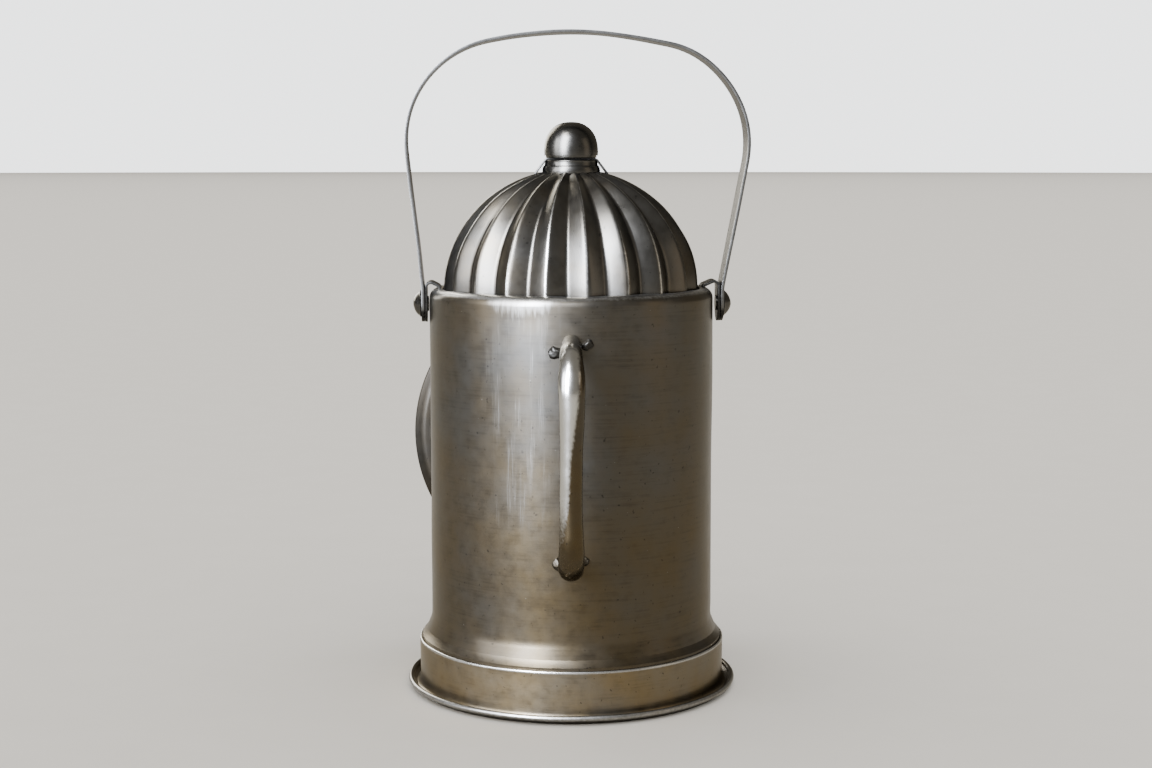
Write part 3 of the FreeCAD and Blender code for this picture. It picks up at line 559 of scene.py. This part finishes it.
def pressed_glass(name):
    """Clear soda glass, pressed: faint green edge and a slight wave."""
    material, tree, shader = new_material(name)
    shader.inputs["Base Color"].default_value = colour(0xEEF4F1)
    shader.inputs["Transmission Weight"].default_value = 1.0
    shader.inputs["IOR"].default_value = 1.5
    where = node(tree, "TexCoord").outputs["Object"]
    haze = node(tree, "TexNoise", None, Vector=where, Scale=1 / (18 * MM), Detail=3, Roughness=0.55)
    haze = node(tree, "Math", MULTIPLY, in0=haze, in1=0.05)
    tree.links.new(haze.outputs[0], shader.inputs["Roughness"])
    wave = node(tree, "TexNoise", None, Vector=where, Scale=1 / (12 * MM), Detail=1, Roughness=0.55)
    bump = node(tree, "Bump", None, Strength=0.2, Distance=0.2 * MM, Height=wave)
    tree.links.new(bump.outputs[0], shader.inputs["Normal"])
    return material


def pale_floor(name):
    """Painted studio floor: matt, with a trace of roller texture."""
    material, tree, shader = new_material(name)
    where = node(tree, "TexCoord").outputs["Object"]
    mottle = node(tree, "TexNoise", None, Vector=where, Scale=1 / (40 * MM), Detail=4, Roughness=0.55)
    paint = node(tree, "Mix", COLOURS, in0=mottle, in6=colour(0xDEDAD2), in7=colour(0xE4E0D9))
    tree.links.new(paint.outputs[2], shader.inputs["Base Color"])
    shader.inputs["Roughness"].default_value = 0.75
    return material


# ---- pieces -------------------------------------------------------------

class PieceOperator:
    bl_options = {"REGISTER", "UNDO"}

    def execute(self, context):
        # noise_vector takes its offsets from this seed, and from the clock without one
        noise.seed_set(SEED)
        self.build(context.scene.lantern_sizes)
        return {"FINISHED"}


class LANTERN_OT_case_wall(PieceOperator, bpy.types.Operator):
    """Case wall with its rolled shoulder, flared foot and drum opening"""
    bl_idname = "lantern.case_wall"
    bl_label = "Case wall"

    def build(self, sizes):
        wall, sheet, roll = sizes.wall_radius, sizes.sheet, sizes.shoulder_radius
        skirt = high("base_band").x - sheet
        flare_top, flare_bottom = 40 * MM, 27.5 * MM
        drop = flare_top - flare_bottom
        flare = (drop ** 2 + (skirt - wall) ** 2) / (2 * (skirt - wall))
        sweep = math.degrees(math.asin(drop / flare))
        roll_at = (wall - roll, ROOF_BASE - roll)
        lip = 68 * MM
        points = [(skirt, low("body_shell").z), (skirt, flare_bottom - 2 * MM)]
        points += arc((wall + flare, flare_top), flare, 180 + sweep, 180, 14)
        points += rows((wall, flare_top), (wall, roll_at[1]), 40)[1:-1]
        points += arc(roll_at, roll, 0, 90, 10)
        points += [(lip + 0.5 * MM, ROOF_BASE), (lip, ROOF_BASE - 0.5 * MM),
                   (lip + 0.3 * MM, ROOF_BASE - sheet)]
        points += arc(roll_at, roll - sheet, 90, 0, 6)
        points += rows((wall - sheet, roll_at[1]), (wall - sheet, flare_top), 40)[1:]
        points += [(skirt - sheet, flare_bottom), (skirt - sheet, low("body_shell").z)]
        bm = bmesh.new()
        turned(bm, points, 240)
        wander(bm, sizes.shoulder_wave * 1.6, 17 * MM,
               lambda co: max(0.0, min(1.0, (co.z - ROOF_BASE + 9 * MM) / (8 * MM))))
        wander(bm, 0.35 * MM, 45 * MM, lambda co: 1.0 if flare_top < co.z < ROOF_BASE - 8 * MM else 0.0, 3.1)

        # the shoulder edge is rubbed all round; its extra brightness towards +X, the key-lit side, is a
        # painted highlight
        def worn(co):
            wear_and_lit_side = 0.55 + 0.4 * rise_to(co.x, -20 * MM, 20 * MM)
            return wear_and_lit_side * rise_to(co.z, ROOF_BASE - 3.2 * MM, ROOF_BASE - 0.8 * MM)

        wall_piece = piece("case_wall", bm, material_once(pewtered_wall), "case", "pewtered_iron",
                           ["body_shell"], worn=worn)
        bore = bmesh.new()
        bore_r = 66.8 * MM
        turned_on_drum(bore, [(0, 30 * MM), (bore_r, 30 * MM), (bore_r, 90 * MM), (0, 90 * MM)], 128, False)
        carve(wall_piece, bore)


class LANTERN_OT_foot(PieceOperator, bpy.types.Operator):
    """Vertical band and the rolled-rim dish that the case stands in"""
    bl_idname = "lantern.foot"
    bl_label = "Band and dish"

    def build(self, sizes):
        sheet = sizes.sheet
        outer, top = high("base_band").x, high("base_band").z
        inner = outer - sheet
        bm = bmesh.new()
        fillet = 3.4 * MM
        points = [(inner, top - 0.4 * MM)]
        points += arc((inner + 0.7 * MM, top - 0.7 * MM), 0.7 * MM, 135, 0, 6)
        points += rows((outer + 0.15 * MM, top - 1.4 * MM), (outer, sheet + fillet), 10)
        points += arc((outer + fillet, sheet + fillet), fillet, 180, 262, 8)
        points += [(outer + fillet, sheet), (inner, sheet)]
        turned(bm, points, 240)
        wander(bm, 0.25 * MM, 30 * MM, lambda co: 1.0 if co.z > 8 * MM else 0.3, 5.0)
        piece("foot_band", bm, material_once(rubbed_band), "case", "pewtered_iron", ["base_band"],
              worn=lambda co: 0.95 * rise_to(co.z, top - 1.9 * MM, top - 0.5 * MM))

        rim, bead = 86.6 * MM, 1.4 * MM
        rim_z = high("base_dish").z - bead
        bm = bmesh.new()
        points = [(0, 0), (40 * MM, 0), (83.4 * MM, 0)]
        points += arc((83.4 * MM, 2.0 * MM), 2.0 * MM, -90, -40, 4)[1:]
        points += arc((rim, rim_z), bead, -70, 190, 14)
        points += [(rim - bead, rim_z - 0.6 * MM), (84.4 * MM, 2.2 * MM), (82.8 * MM, sheet),
                   (40 * MM, sheet),
                   (0, sheet)]
        turned(bm, points, 240, False)
        wander(bm, 0.25 * MM, 35 * MM, lambda co: 1.0 if co.z > 1.9 * MM else 0.0, 8.0)
        piece("foot_dish", bm, material_once(washed_dish), "case", "pewtered_iron", ["base_dish"],
              worn=lambda co: 0.6 * rise_to(co.xy.length, rim - 0.8 * MM, rim + 0.6 * MM))


class LANTERN_OT_roof(PieceOperator, bpy.types.Operator):
    """Dome pressed into sharp pleats, with its seat inside the shoulder"""
    bl_idname = "lantern.roof"
    bl_label = "Pleated roof"

    def build(self, sizes):
        base_r, rise, vent = 67.3 * MM, 62.4 * MM, 11.2 * MM
        samples = 16
        steps = sizes.pleats * samples
        last = math.degrees(math.acos(vent / base_r))
        points = [(base_r, ROOF_BASE - 2.4 * MM)]
        for x, z in arc((0, 0), 1.0, 0, last, 44):
            points.append((base_r * x, ROOF_BASE + rise * z))
        bm = bmesh.new()
        turned(bm, points, steps, False)
        pleats, turn, soft = sizes.pleats, sizes.pleat_turn, sizes.crease
        depth = sizes.pleat_depth
        layer = bm.verts.layers.float.new("wear")
        for vert in bm.verts:
            angle = math.atan2(vert.co.y, vert.co.x)
            place = Vector((math.cos(angle), math.sin(angle), vert.co.z / (60 * MM)))
            uneven = noise.noise(place * 1.3) * 0.07
            phase = ((angle - turn) / FULL_TURN * pleats + uneven) % 1.0
            ridge = abs(phase - 0.5) * 2
            fold = 1 - ridge
            rounded = (math.sqrt(fold ** 2 + soft ** 2) - soft) / (math.sqrt(1 + soft ** 2) - soft)
            valley = 1 - ridge if ridge > soft else 1 - soft / 2 - ridge ** 2 / (2 * soft)
            rounded = min(rounded, valley)
            radius = math.hypot(vert.co.x, vert.co.y)
            shrink = 1 - depth * rounded
            vert.co.x *= shrink
            vert.co.y *= shrink
            slope = (vert.co.z - ROOF_BASE) / rise
            vert.co.z -= depth * rounded * radius * max(0.0, slope) * 0.9
            vert[layer] = max(0.0, 0.95 - fold * 11)
        bmesh.ops.recalc_face_normals(bm, faces=bm.faces)
        bmesh.ops.solidify(bm, geom=bm.faces, thickness=0.9 * MM)
        wander(bm, 0.35 * MM, 22 * MM, lambda co: 1.0, 12.0)
        seat = outline(bm, [(60.5 * MM, ROOF_BASE - 2.3 * MM), (69.8 * MM, ROOF_BASE - 2.3 * MM),
                            (69.8 * MM, ROOF_BASE - 1.3 * MM), (60.5 * MM, ROOF_BASE - 1.3 * MM)],
                       lambda r, z: Vector((r, 0, z)))
        bmesh.ops.spin(bm, geom=seat, cent=(0, 0, 0), axis=UP, angle=FULL_TURN, steps=120, use_merge=True,
                       use_normal_flip=False, use_duplicate=False)
        piece("pleated_roof", bm, material_once(pressed_roof), "case", "fluted_roof", ["dome_roof"], 50)


class LANTERN_OT_chimney(PieceOperator, bpy.types.Operator):
    """Stepped collar, the strap bridging it and the ball finial"""
    bl_idname = "lantern.chimney"
    bl_label = "Chimney and finial"

    def build(self, sizes):
        top = low("finial").z - 1.0 * MM
        foot = top - 5.6 * MM
        bm = bmesh.new()
        points = [(13.6 * MM, foot - 1.5 * MM), (15.1 * MM, foot - 1.4 * MM), (15.3 * MM, foot)]
        points += [(14.9 * MM, foot + 1.9 * MM), (14.6 * MM, foot + 2.4 * MM), (14.1 * MM, foot + 2.7 * MM)]
        points += [(14.0 * MM, foot + 3.1 * MM), (13.7 * MM, top - 0.9 * MM)]
        points += arc((13.2 * MM, top - 0.6 * MM), 0.6 * MM, 10, 90, 4)
        points += [(12.3 * MM, top)]
        turned(bm, points, 96)
        piece("chimney_ring", bm, material_once(turned_pewter), "case", "turned_metal",
              ["chimney_collar"], 28)

        bm = bmesh.new()
        reach, half = high("bridge_strap").x - 0.5 * MM, 0.5 * MM
        foot_z = low("bridge_strap").z + 0.6 * MM
        path = in_side_view([(-reach, foot_z), (-13.2 * MM, top + half), (13.2 * MM, top + half),
                             (reach, foot_z)],
                            [2.4 * MM, 2.4 * MM])
        bent_strip(bm, path, lambda run, whole: 9 * MM, 1.0 * MM)
        soften(bm, 0.25 * MM)
        piece("bridge", bm, material_once(cold_rolled_strap), "case", "strap_iron", ["bridge_strap"],
              worn=lambda co: 0.6 * (abs(co.y) > 4.2 * MM))

        bottom, crown = low("finial").z, high("finial").z
        belly = bottom + 3.4 * MM
        bm = bmesh.new()
        points = [(0, bottom), (12.9 * MM, bottom)]
        points += arc((12.9 * MM, bottom + 0.5 * MM), 0.5 * MM, -80, 0, 4)
        points += [(13.35 * MM, bottom + 1.1 * MM), (13.75 * MM, bottom + 1.9 * MM)]
        flat = 2.3
        for i in range(22):
            angle = math.radians(-8 + 98 * i / 21)
            x, z = math.cos(angle), math.sin(angle)
            squared = (abs(x) ** flat + abs(z) ** flat) ** (-1 / flat)
            points.append((max(0.0, 14.2 * MM * x * squared), belly + (crown - belly) * z * squared))
        points[-1] = (0, crown)
        turned(bm, points, 96, False)
        wander(bm, 0.25 * MM, 11 * MM, lambda co: 1.0 if co.z > belly else 0.0, 21.0)
        piece("ball_finial", bm, material_once(turned_pewter), "case", "turned_metal", ["finial"], 40)


def side_signs():
    return (("left", 1), ("right", -1))


class LANTERN_OT_bail(PieceOperator, bpy.types.Operator):
    """Strip bail, bent by hand over the roof, wider on its right"""
    bl_idname = "lantern.bail"
    bl_label = "Bail"

    def build(self, sizes):
        sheet = 1.6 * MM
        half = sheet / 2
        pads = {"left": 79.1 * MM, "right": 80.4 * MM}
        corner = {"left": (91.9 * MM, 332.4 * MM), "right": (102.8 * MM, 330.2 * MM)}
        foot, bend = PIVOT_Z - 9.5 * MM, 213 * MM
        left = [(pads["left"] - half, foot), (pads["left"] - half, bend),
                (corner["left"][0] - half, corner["left"][1] - half)]
        right = [(half - corner["right"][0], corner["right"][1] - half),
                 (half - pads["right"], bend), (half - pads["right"], foot)]
        radii = [24 * MM, 52.8 * MM, 214.2 * MM, 53.1 * MM, 24 * MM]
        path = in_side_view(left + [(0, 351.6 * MM - half)] + right, radii, 26)

        path = finer_end(finer_end(path, 9.5 * MM)[::-1], 9.5 * MM)[::-1]
        bm = bmesh.new()
        bent_strip(bm, path, round_end(9.5 * MM), sheet, 6)
        soften(bm, sizes.edge_round)
        wander(bm, 0.5 * MM, 38 * MM, lambda co: max(0.0, min(1.0, (co.z - bend) / (25 * MM))), 31.0)
        piece("strip_bail", bm, material_once(cold_rolled_strap), "bail", "strap_iron", ["bail"],
              worn=lambda co: 0.75 * rise_to(abs(co.y), 8.3 * MM, 9.2 * MM))


def finer_end(points, reach):
    """Crowd points at the start of a path, where the strip is rounded."""
    start = Vector((*points[0], 0))
    onward = (Vector((*points[1], 0)) - start).normalized()
    count = 14
    fine = [start + onward * reach * (1 - math.cos(math.pi / 2 * i / count)) for i in range(count + 1)]
    rest = [point for point in points if (Vector((*point, 0)) - start).length > reach * 1.2]
    return [(point.x, point.y) for point in fine] + rest


class LANTERN_OT_ears(PieceOperator, bpy.types.Operator):
    """Hook brackets out of the case's mouth, and the domed rivets through them"""
    bl_idname = "lantern.ears"
    bl_label = "Ear brackets and rivets"

    def build(self, sizes):
        sheet = 1.3 * MM
        half = sheet / 2
        for name, side in side_signs():
            node_name = "ear_bracket_" + name
            outer = max(abs(low(node_name).x), abs(high(node_name).x))
            tab = outer - half
            corners = [(side * 69.5 * MM, 204 * MM), (side * 69.5 * MM, 213.9 * MM),
                       (side * tab, 217.6 * MM), (side * tab, 195 * MM)]
            path = in_side_view(corners, [1.4 * MM, 2.6 * MM], 8)

            path = finer_end(path[::-1], 8 * MM)[::-1]
            bm = bmesh.new()
            bent_strip(bm, path, round_end(8 * MM, False), sheet, 4)
            soften(bm, 0.25 * MM)
            piece("ear_" + name, bm, material_once(cold_rolled_strap), "case", "strap_iron", [node_name],
                  worn=lambda co: 0.45 * (abs(co.y) > 7.6 * MM))
            self.rivet(name, side)

    def rivet(self, name, side):
        node_name = "bail_rivet_" + name
        reach = max(abs(low(node_name).x), abs(high(node_name).x))
        rise, radius = 4.3 * MM, 7.15 * MM
        face = reach - rise
        tail = min(abs(low(node_name).x), abs(high(node_name).x))
        dome = (radius ** 2 + rise ** 2) / (2 * rise)
        spread = math.degrees(math.asin(radius / dome))
        profile = [(0, tail), (4 * MM, tail), (4 * MM, tail + 0.7 * MM), (2.5 * MM, tail + 0.7 * MM),
                   (2.5 * MM, face), (radius - 0.5 * MM, face)]
        profile += arc((radius - 0.45 * MM, face + 0.45 * MM), 0.45 * MM, -90, 20, 4)
        profile += [(dome * math.sin(math.radians(spread * t)), face + rise - dome
                     + dome * math.cos(math.radians(spread * t)))
                    for t in (0.9, 0.75, 0.6, 0.45, 0.3, 0.15, 0)]
        bm = bmesh.new()
        geom = outline(bm, profile, lambda r, x: Vector((side * x, 0, PIVOT_Z + r)), False)
        spin(bm, geom, Vector((0, 0, PIVOT_Z)), Vector((1, 0, 0)), 64)
        wander(bm, 0.35 * MM, 6 * MM, lambda co: 1.0 if abs(co.x) > face + 0.6 * MM else 0.0, 40.0 + side)
        piece("rivet_" + name, bm, material_once(turned_pewter), "case", "rivet_metal", [node_name], 40)


class LANTERN_OT_grip(PieceOperator, bpy.types.Operator):
    """Rod grip, thinned at its waist, and the weld beads at both ends"""
    bl_idname = "lantern.grip"
    bl_label = "Grip handle and welds"

    def build(self, sizes):
        wall = sizes.wall_radius
        top, bottom, reach = 190 * MM, 78.5 * MM, wall + 36 * MM
        turn = Matrix.Rotation(-sizes.handle_turn, 3, "Z")
        corners = [Vector((0, wall - 2 * MM, top)), Vector((0, reach, top - 4 * MM)),
                   Vector((0, reach - 2 * MM, bottom + 3 * MM)), Vector((0, wall - 2 * MM, bottom))]
        path = smooth_path(corners, [20 * MM, 20 * MM], 16)

        widths = [(0, 4.6), (0.12, 5.6), (0.28, 6.6), (0.52, 5.4), (0.78, 6.5), (1, 5.6)]
        depths = [(0, 5.0), (0.3, 5.2), (0.52, 4.8), (0.78, 5.4), (1, 5.2)]

        def section(t):
            return between(widths, t) * MM, between(depths, t) * MM

        bm = bmesh.new()
        rod(bm, path, section)
        wander(bm, 0.55 * MM, 24 * MM, lambda co: 1.0, 51.0)
        wander(bm, 0.12 * MM, 5 * MM, lambda co: 1.0, 57.0)
        bmesh.ops.rotate(bm, verts=bm.verts, cent=(0, 0, 0), matrix=turn)

        # the bare patch on the +X side of the upper grip, where the key light falls, is a painted highlight
        def worn(co):
            edge = between([(95 * MM, 2.5 * MM), (125 * MM, 0.5 * MM), (180 * MM, -4.5 * MM)], co.z)
            side = rise_to(co.x - co.y * math.tan(sizes.handle_turn) - edge, -1.2 * MM, 1.8 * MM)
            return 0.85 * side * rise_to(co.z, 84 * MM, 122 * MM)

        piece("grip", bm, material_once(gripped_rod), "case", "handle_metal", ["rear_handle"], 60, worn)

        bm = bmesh.new()
        for side, height, size in ((8.0, top - 4.4 * MM, (3.7, 2.4, 3.2)),
                                   (-7.7, top - 0.4 * MM, (3.3, 2.2, 2.6)),
                                   (6.5, bottom + 0.9 * MM, (2.9, 2.2, 3.2)),
                                   (-6.2, bottom + 2.4 * MM, (2.6, 2.0, 2.8))):
            self.bead(bm, side * MM, wall - 0.2 * MM, height, [length * MM for length in size])
        bmesh.ops.rotate(bm, verts=bm.verts, cent=(0, 0, 0), matrix=turn)
        piece("weld_beads", bm, material_once(dark_hardware), "case", "handle_metal", ["handle_welds"], 80)

    def bead(self, bm, side, depth, height, size):
        blob = bmesh.ops.create_icosphere(bm, subdivisions=4, radius=1.0)["verts"]
        bmesh.ops.scale(bm, verts=blob, vec=size)
        bmesh.ops.translate(bm, verts=blob, vec=(side, depth, height))
        for vert in blob:
            vert.co += noise.noise_vector(vert.co / (3.0 * MM)) * 1.0 * MM
            vert.co += noise.noise_vector(vert.co / (1.0 * MM)) * 0.2 * MM


class LANTERN_OT_drum(PieceOperator, bpy.types.Operator):
    """Short drum from the case to the door"""
    bl_idname = "lantern.drum"
    bl_label = "Drum"

    def build(self, sizes):
        radius, mouth, sheet = 68 * MM, -low("front_drum").y, sizes.sheet
        points = rows((radius, 20 * MM), (radius, mouth - 0.5 * MM), 24)
        points += arc((radius - 0.5 * MM, mouth - 0.5 * MM), 0.5 * MM, 0, 180, 4)[1:]
        points += rows((radius - sheet, mouth - 0.6 * MM), (radius - sheet, 20 * MM), 24)
        bm = bmesh.new()
        turned_on_drum(bm, points, 160)
        drum = piece("drum", bm, material_once(door_wash), "case", "pewtered_iron", ["front_drum"],
                     worn=lambda co: 0.7 * rise_to(-co.y, mouth - 1.4 * MM, mouth - 0.4 * MM))
        core = bmesh.new()
        inner = sizes.wall_radius - 0.6 * MM
        turned(core, [(0, 20 * MM), (inner, 20 * MM), (inner, 205 * MM), (0, 205 * MM)], 240, False)
        carve(drum, core)


class LANTERN_OT_door(PieceOperator, bpy.types.Operator):
    """Dished bezel with its rolled rim, the bulged glass and the knob"""
    bl_idname = "lantern.door"
    bl_label = "Door, glass and knob"

    def build(self, sizes):
        sheet = sizes.sheet
        back = 92.4 * MM
        front = back + sheet
        collar, lip, flat, rim, bead = 66 * MM, 58 * MM, 82 * MM, 85.7 * MM, 1.3 * MM
        rim_y = front - sheet / 2 + 4 * MM
        points = arc((lip + 0.6 * MM, back + 0.6 * MM), 0.6 * MM, 90, 270, 6)
        points += [(collar - sheet, back), (collar - sheet, back - 8.4 * MM), (collar, back - 8.4 * MM),
                   (collar, back)]
        points += rows((collar + 1 * MM, back), (flat - 1.5 * MM, back), 4)
        points += [(flat, back + 0.3 * MM), (flat + 1.6 * MM, back + 1.3 * MM),
                   (rim - 0.1 * MM, rim_y - 1.5 * MM)]
        points += arc((rim, rim_y), bead, -60, 160, 14)
        points += [(rim - 1.5 * MM, rim_y - 0.9 * MM), (flat + 0.8 * MM, front + 1.2 * MM),
                   (flat - 0.8 * MM, front + 0.2 * MM)]
        points += rows((flat - 2.2 * MM, front), (lip + 2 * MM, front), 5)
        bm = bmesh.new()
        turned_on_drum(bm, points, 200)
        piece("bezel", bm, material_once(door_wash), "door", "pewtered_iron", ["door_bezel"],
              worn=lambda co: 0.6 * rise_to(-co.y, rim_y - 0.3 * MM, rim_y + 1.0 * MM))

        bm = bmesh.new()
        thick, bulge, edge, glass_r = 2.5 * MM, 7 * MM, 56 * MM, high("door_glass").x
        curve = (edge ** 2 + bulge ** 2) / (2 * bulge)
        spread = math.degrees(math.asin(edge / curve))
        points = []
        for face, order in ((back - thick, 1), (back, -1)):
            dome = arc((0, face + bulge - curve), curve, 90, 90 - spread, 16)
            dome.append((glass_r - 0.2 * MM, face))
            points += dome[::order]
        turned_on_drum(bm, points, 128, False)
        piece("glass", bm, material_once(pressed_glass), "door", "lens_glass", ["door_glass"])

        knob_x = (low("door_knob").x + high("door_knob").x) / 2
        stem, radius, length = 2.4 * MM, 5 * MM, 11 * MM
        points = [(0, -3.1 * MM), (2.1 * MM, -3.1 * MM), (2.1 * MM, -2.4 * MM),
                  (1.2 * MM, -2.4 * MM), (1.2 * MM, 0),
                  (4 * MM, 0), (4.1 * MM, 0.5 * MM), (3.7 * MM, 0.9 * MM),
                  (2.8 * MM, 1.2 * MM), (stem, 2 * MM),
                  (stem, 3 * MM)]
        points += arc((0, length - radius * 0.86), radius, -55, 90, 16)
        bm = bmesh.new()
        geom = outline(bm, points, lambda r, y: Vector((knob_x + r, -(front + y), DRUM_Z)), False)
        spin(bm, geom, Vector((knob_x, 0, DRUM_Z)), FORWARD, 48)
        piece("knob", bm, material_once(turned_pewter), "door", "turned_metal", ["door_knob"], 40)


class LANTERN_OT_hardware(PieceOperator, bpy.types.Operator):
    """Finishes for the hinge, rivets, catch, snap ring, screw and candle seat"""
    bl_idname = "lantern.hardware"
    bl_label = "Small hardware"

    def build(self, sizes):
        finishes = {
            dark_hardware: ("hinge_leaf_drum", "hinge_leaf_door", "hinge_rivets", "door_rivet", "catch_lug",
                            "catch_rivet", "hinge_pin", "finial_screw"),
            tempered_wire: ("glass_snap_ring", "catch_spring"),
            # the candle seat inside the case takes the dish's darkening, painted shade
            washed_dish: ("candle_plate", "candle_spike"),
        }
        for build, names in finishes.items():
            for name in names:
                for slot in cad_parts[name].material_slots:
                    slot.material = material_once(build)


class LANTERN_OT_stage(bpy.types.Operator):
    """Pale floor, soft studio light and the camera"""
    bl_idname = "lantern.stage"
    bl_label = "Stage"

    def execute(self, context):
        floor = self.floor()
        self.lights(context.scene, floor)
        self.camera(context.scene)
        return {"FINISHED"}

    def floor(self):
        bm = bmesh.new()
        bmesh.ops.create_circle(bm, cap_ends=True, segments=96, radius=30.0)
        mesh = bpy.data.meshes.new("floor")
        bm.to_mesh(mesh)
        bm.free()
        floor = bpy.data.objects.new("floor", mesh)
        bpy.context.collection.objects.link(floor)
        mesh.materials.append(material_once(pale_floor))
        return floor

    def lights(self, scene, floor):
        world = bpy.data.worlds.new("studio")
        world.use_nodes = True
        tree = world.node_tree
        tree.nodes.clear()
        room = node(tree, "Background", None, Color=colour(0xF4EDE0), Strength=0.34)
        backdrop = node(tree, "Background", None, Color=colour(0xF1F3F4), Strength=3.2)
        seen = node(tree, "LightPath").outputs["Is Camera Ray"]
        mixed = node(tree, "MixShader", None, in0=seen, in1=room, in2=backdrop)
        node(tree, "OutputWorld", None, Surface=mixed)
        scene.world = world
        flagged = bpy.data.collections.new("flagged from key")
        flagged.objects.link(floor)
        flagged.collection_objects[0].light_linking.link_state = "EXCLUDE"
        self.softbox("key", (1.0, 1.4, 1.0), (0.8, 1.7), 460, 0xE4ECFF, flagged)
        self.softbox("side", (1.65, 0.72, 0.8), (0.6, 1.2), 45, 0xEEF2FF, flagged)
        self.softbox("top", (0.6, 0.6, 1.45), (0.4, 0.4), 22, 0xFAFBFF, flagged)
        self.softbox("fill", (-1.7, 0.7, 0.7), (0.8, 1.2), 3, 0xFFEEDA, flagged)
        self.softbox("front", (0.9, -1.7, 0.9), (1.0, 1.3), 45, 0xFFFFFF, flagged)
        only_floor = bpy.data.collections.new("lit by floor light")
        only_floor.objects.link(floor)
        self.softbox("floor light", (0, 0, 8.0), (60, 60), 13000, 0xFFFFFF, only_floor)

    def softbox(self, name, place, sides, power, tint_hex, flagged=None):
        light = bpy.data.lights.new(name, "AREA")
        light.shape = "RECTANGLE"
        light.size, light.size_y = sides
        light.energy = power
        light.color = colour(tint_hex)[:3]
        lamp = bpy.data.objects.new(name, light)
        lamp.location = place
        lamp.rotation_euler = (Vector((0, 0, 0.15)) - Vector(place)).to_track_quat("-Z", "Y").to_euler()
        bpy.context.collection.objects.link(lamp)
        lamp.light_linking.receiver_collection = flagged

    def camera(self, scene):
        data = bpy.data.cameras.new("camera")
        data.sensor_width = 36
        data.lens = 59.4
        camera = bpy.data.objects.new("camera", data)
        camera.location = (44.9 * MM, 1005.9 * MM, 282.9 * MM)
        camera.rotation_euler = (math.radians(90 - 6.89), 0, math.radians(180 - 2.7))
        bpy.context.collection.objects.link(camera)
        scene.camera = camera


PIECES = (LANTERN_OT_case_wall, LANTERN_OT_foot, LANTERN_OT_roof, LANTERN_OT_chimney, LANTERN_OT_bail,
          LANTERN_OT_ears, LANTERN_OT_grip, LANTERN_OT_drum, LANTERN_OT_door, LANTERN_OT_hardware,
          LANTERN_OT_stage)


class LANTERN_PT_panel(bpy.types.Panel):
    """Lists the lantern's pieces and sizes"""
    bl_idname = "LANTERN_PT_panel"
    bl_label = "Candle lantern"
    bl_space_type = "VIEW_3D"
    bl_region_type = "UI"
    bl_category = "Lantern"

    def draw(self, context):
        for group, held in ((LanternSizes, context.scene.lantern_sizes),
                            (LanternColours, context.scene.lantern_colours)):
            for name in group.__annotations__:
                self.layout.prop(held, name)
        for operator in PIECES:
            self.layout.operator(operator.bl_idname)


CLASSES = (LanternSizes, LanternColours, *PIECES, LANTERN_PT_panel)


def register():
    for cls in CLASSES:
        bpy.utils.register_class(cls)
    bpy.types.Scene.lantern_sizes = PointerProperty(type=LanternSizes)
    bpy.types.Scene.lantern_colours = PointerProperty(type=LanternColours)


def unregister():
    del bpy.types.Scene.lantern_colours
    del bpy.types.Scene.lantern_sizes
    for cls in reversed(CLASSES):
        bpy.utils.unregister_class(cls)


def main():
    register()
    for operator in PIECES:
        group, name = operator.bl_idname.split(".")
        getattr(getattr(bpy.ops, group), name)()


if __name__ == "__main__":
    main()
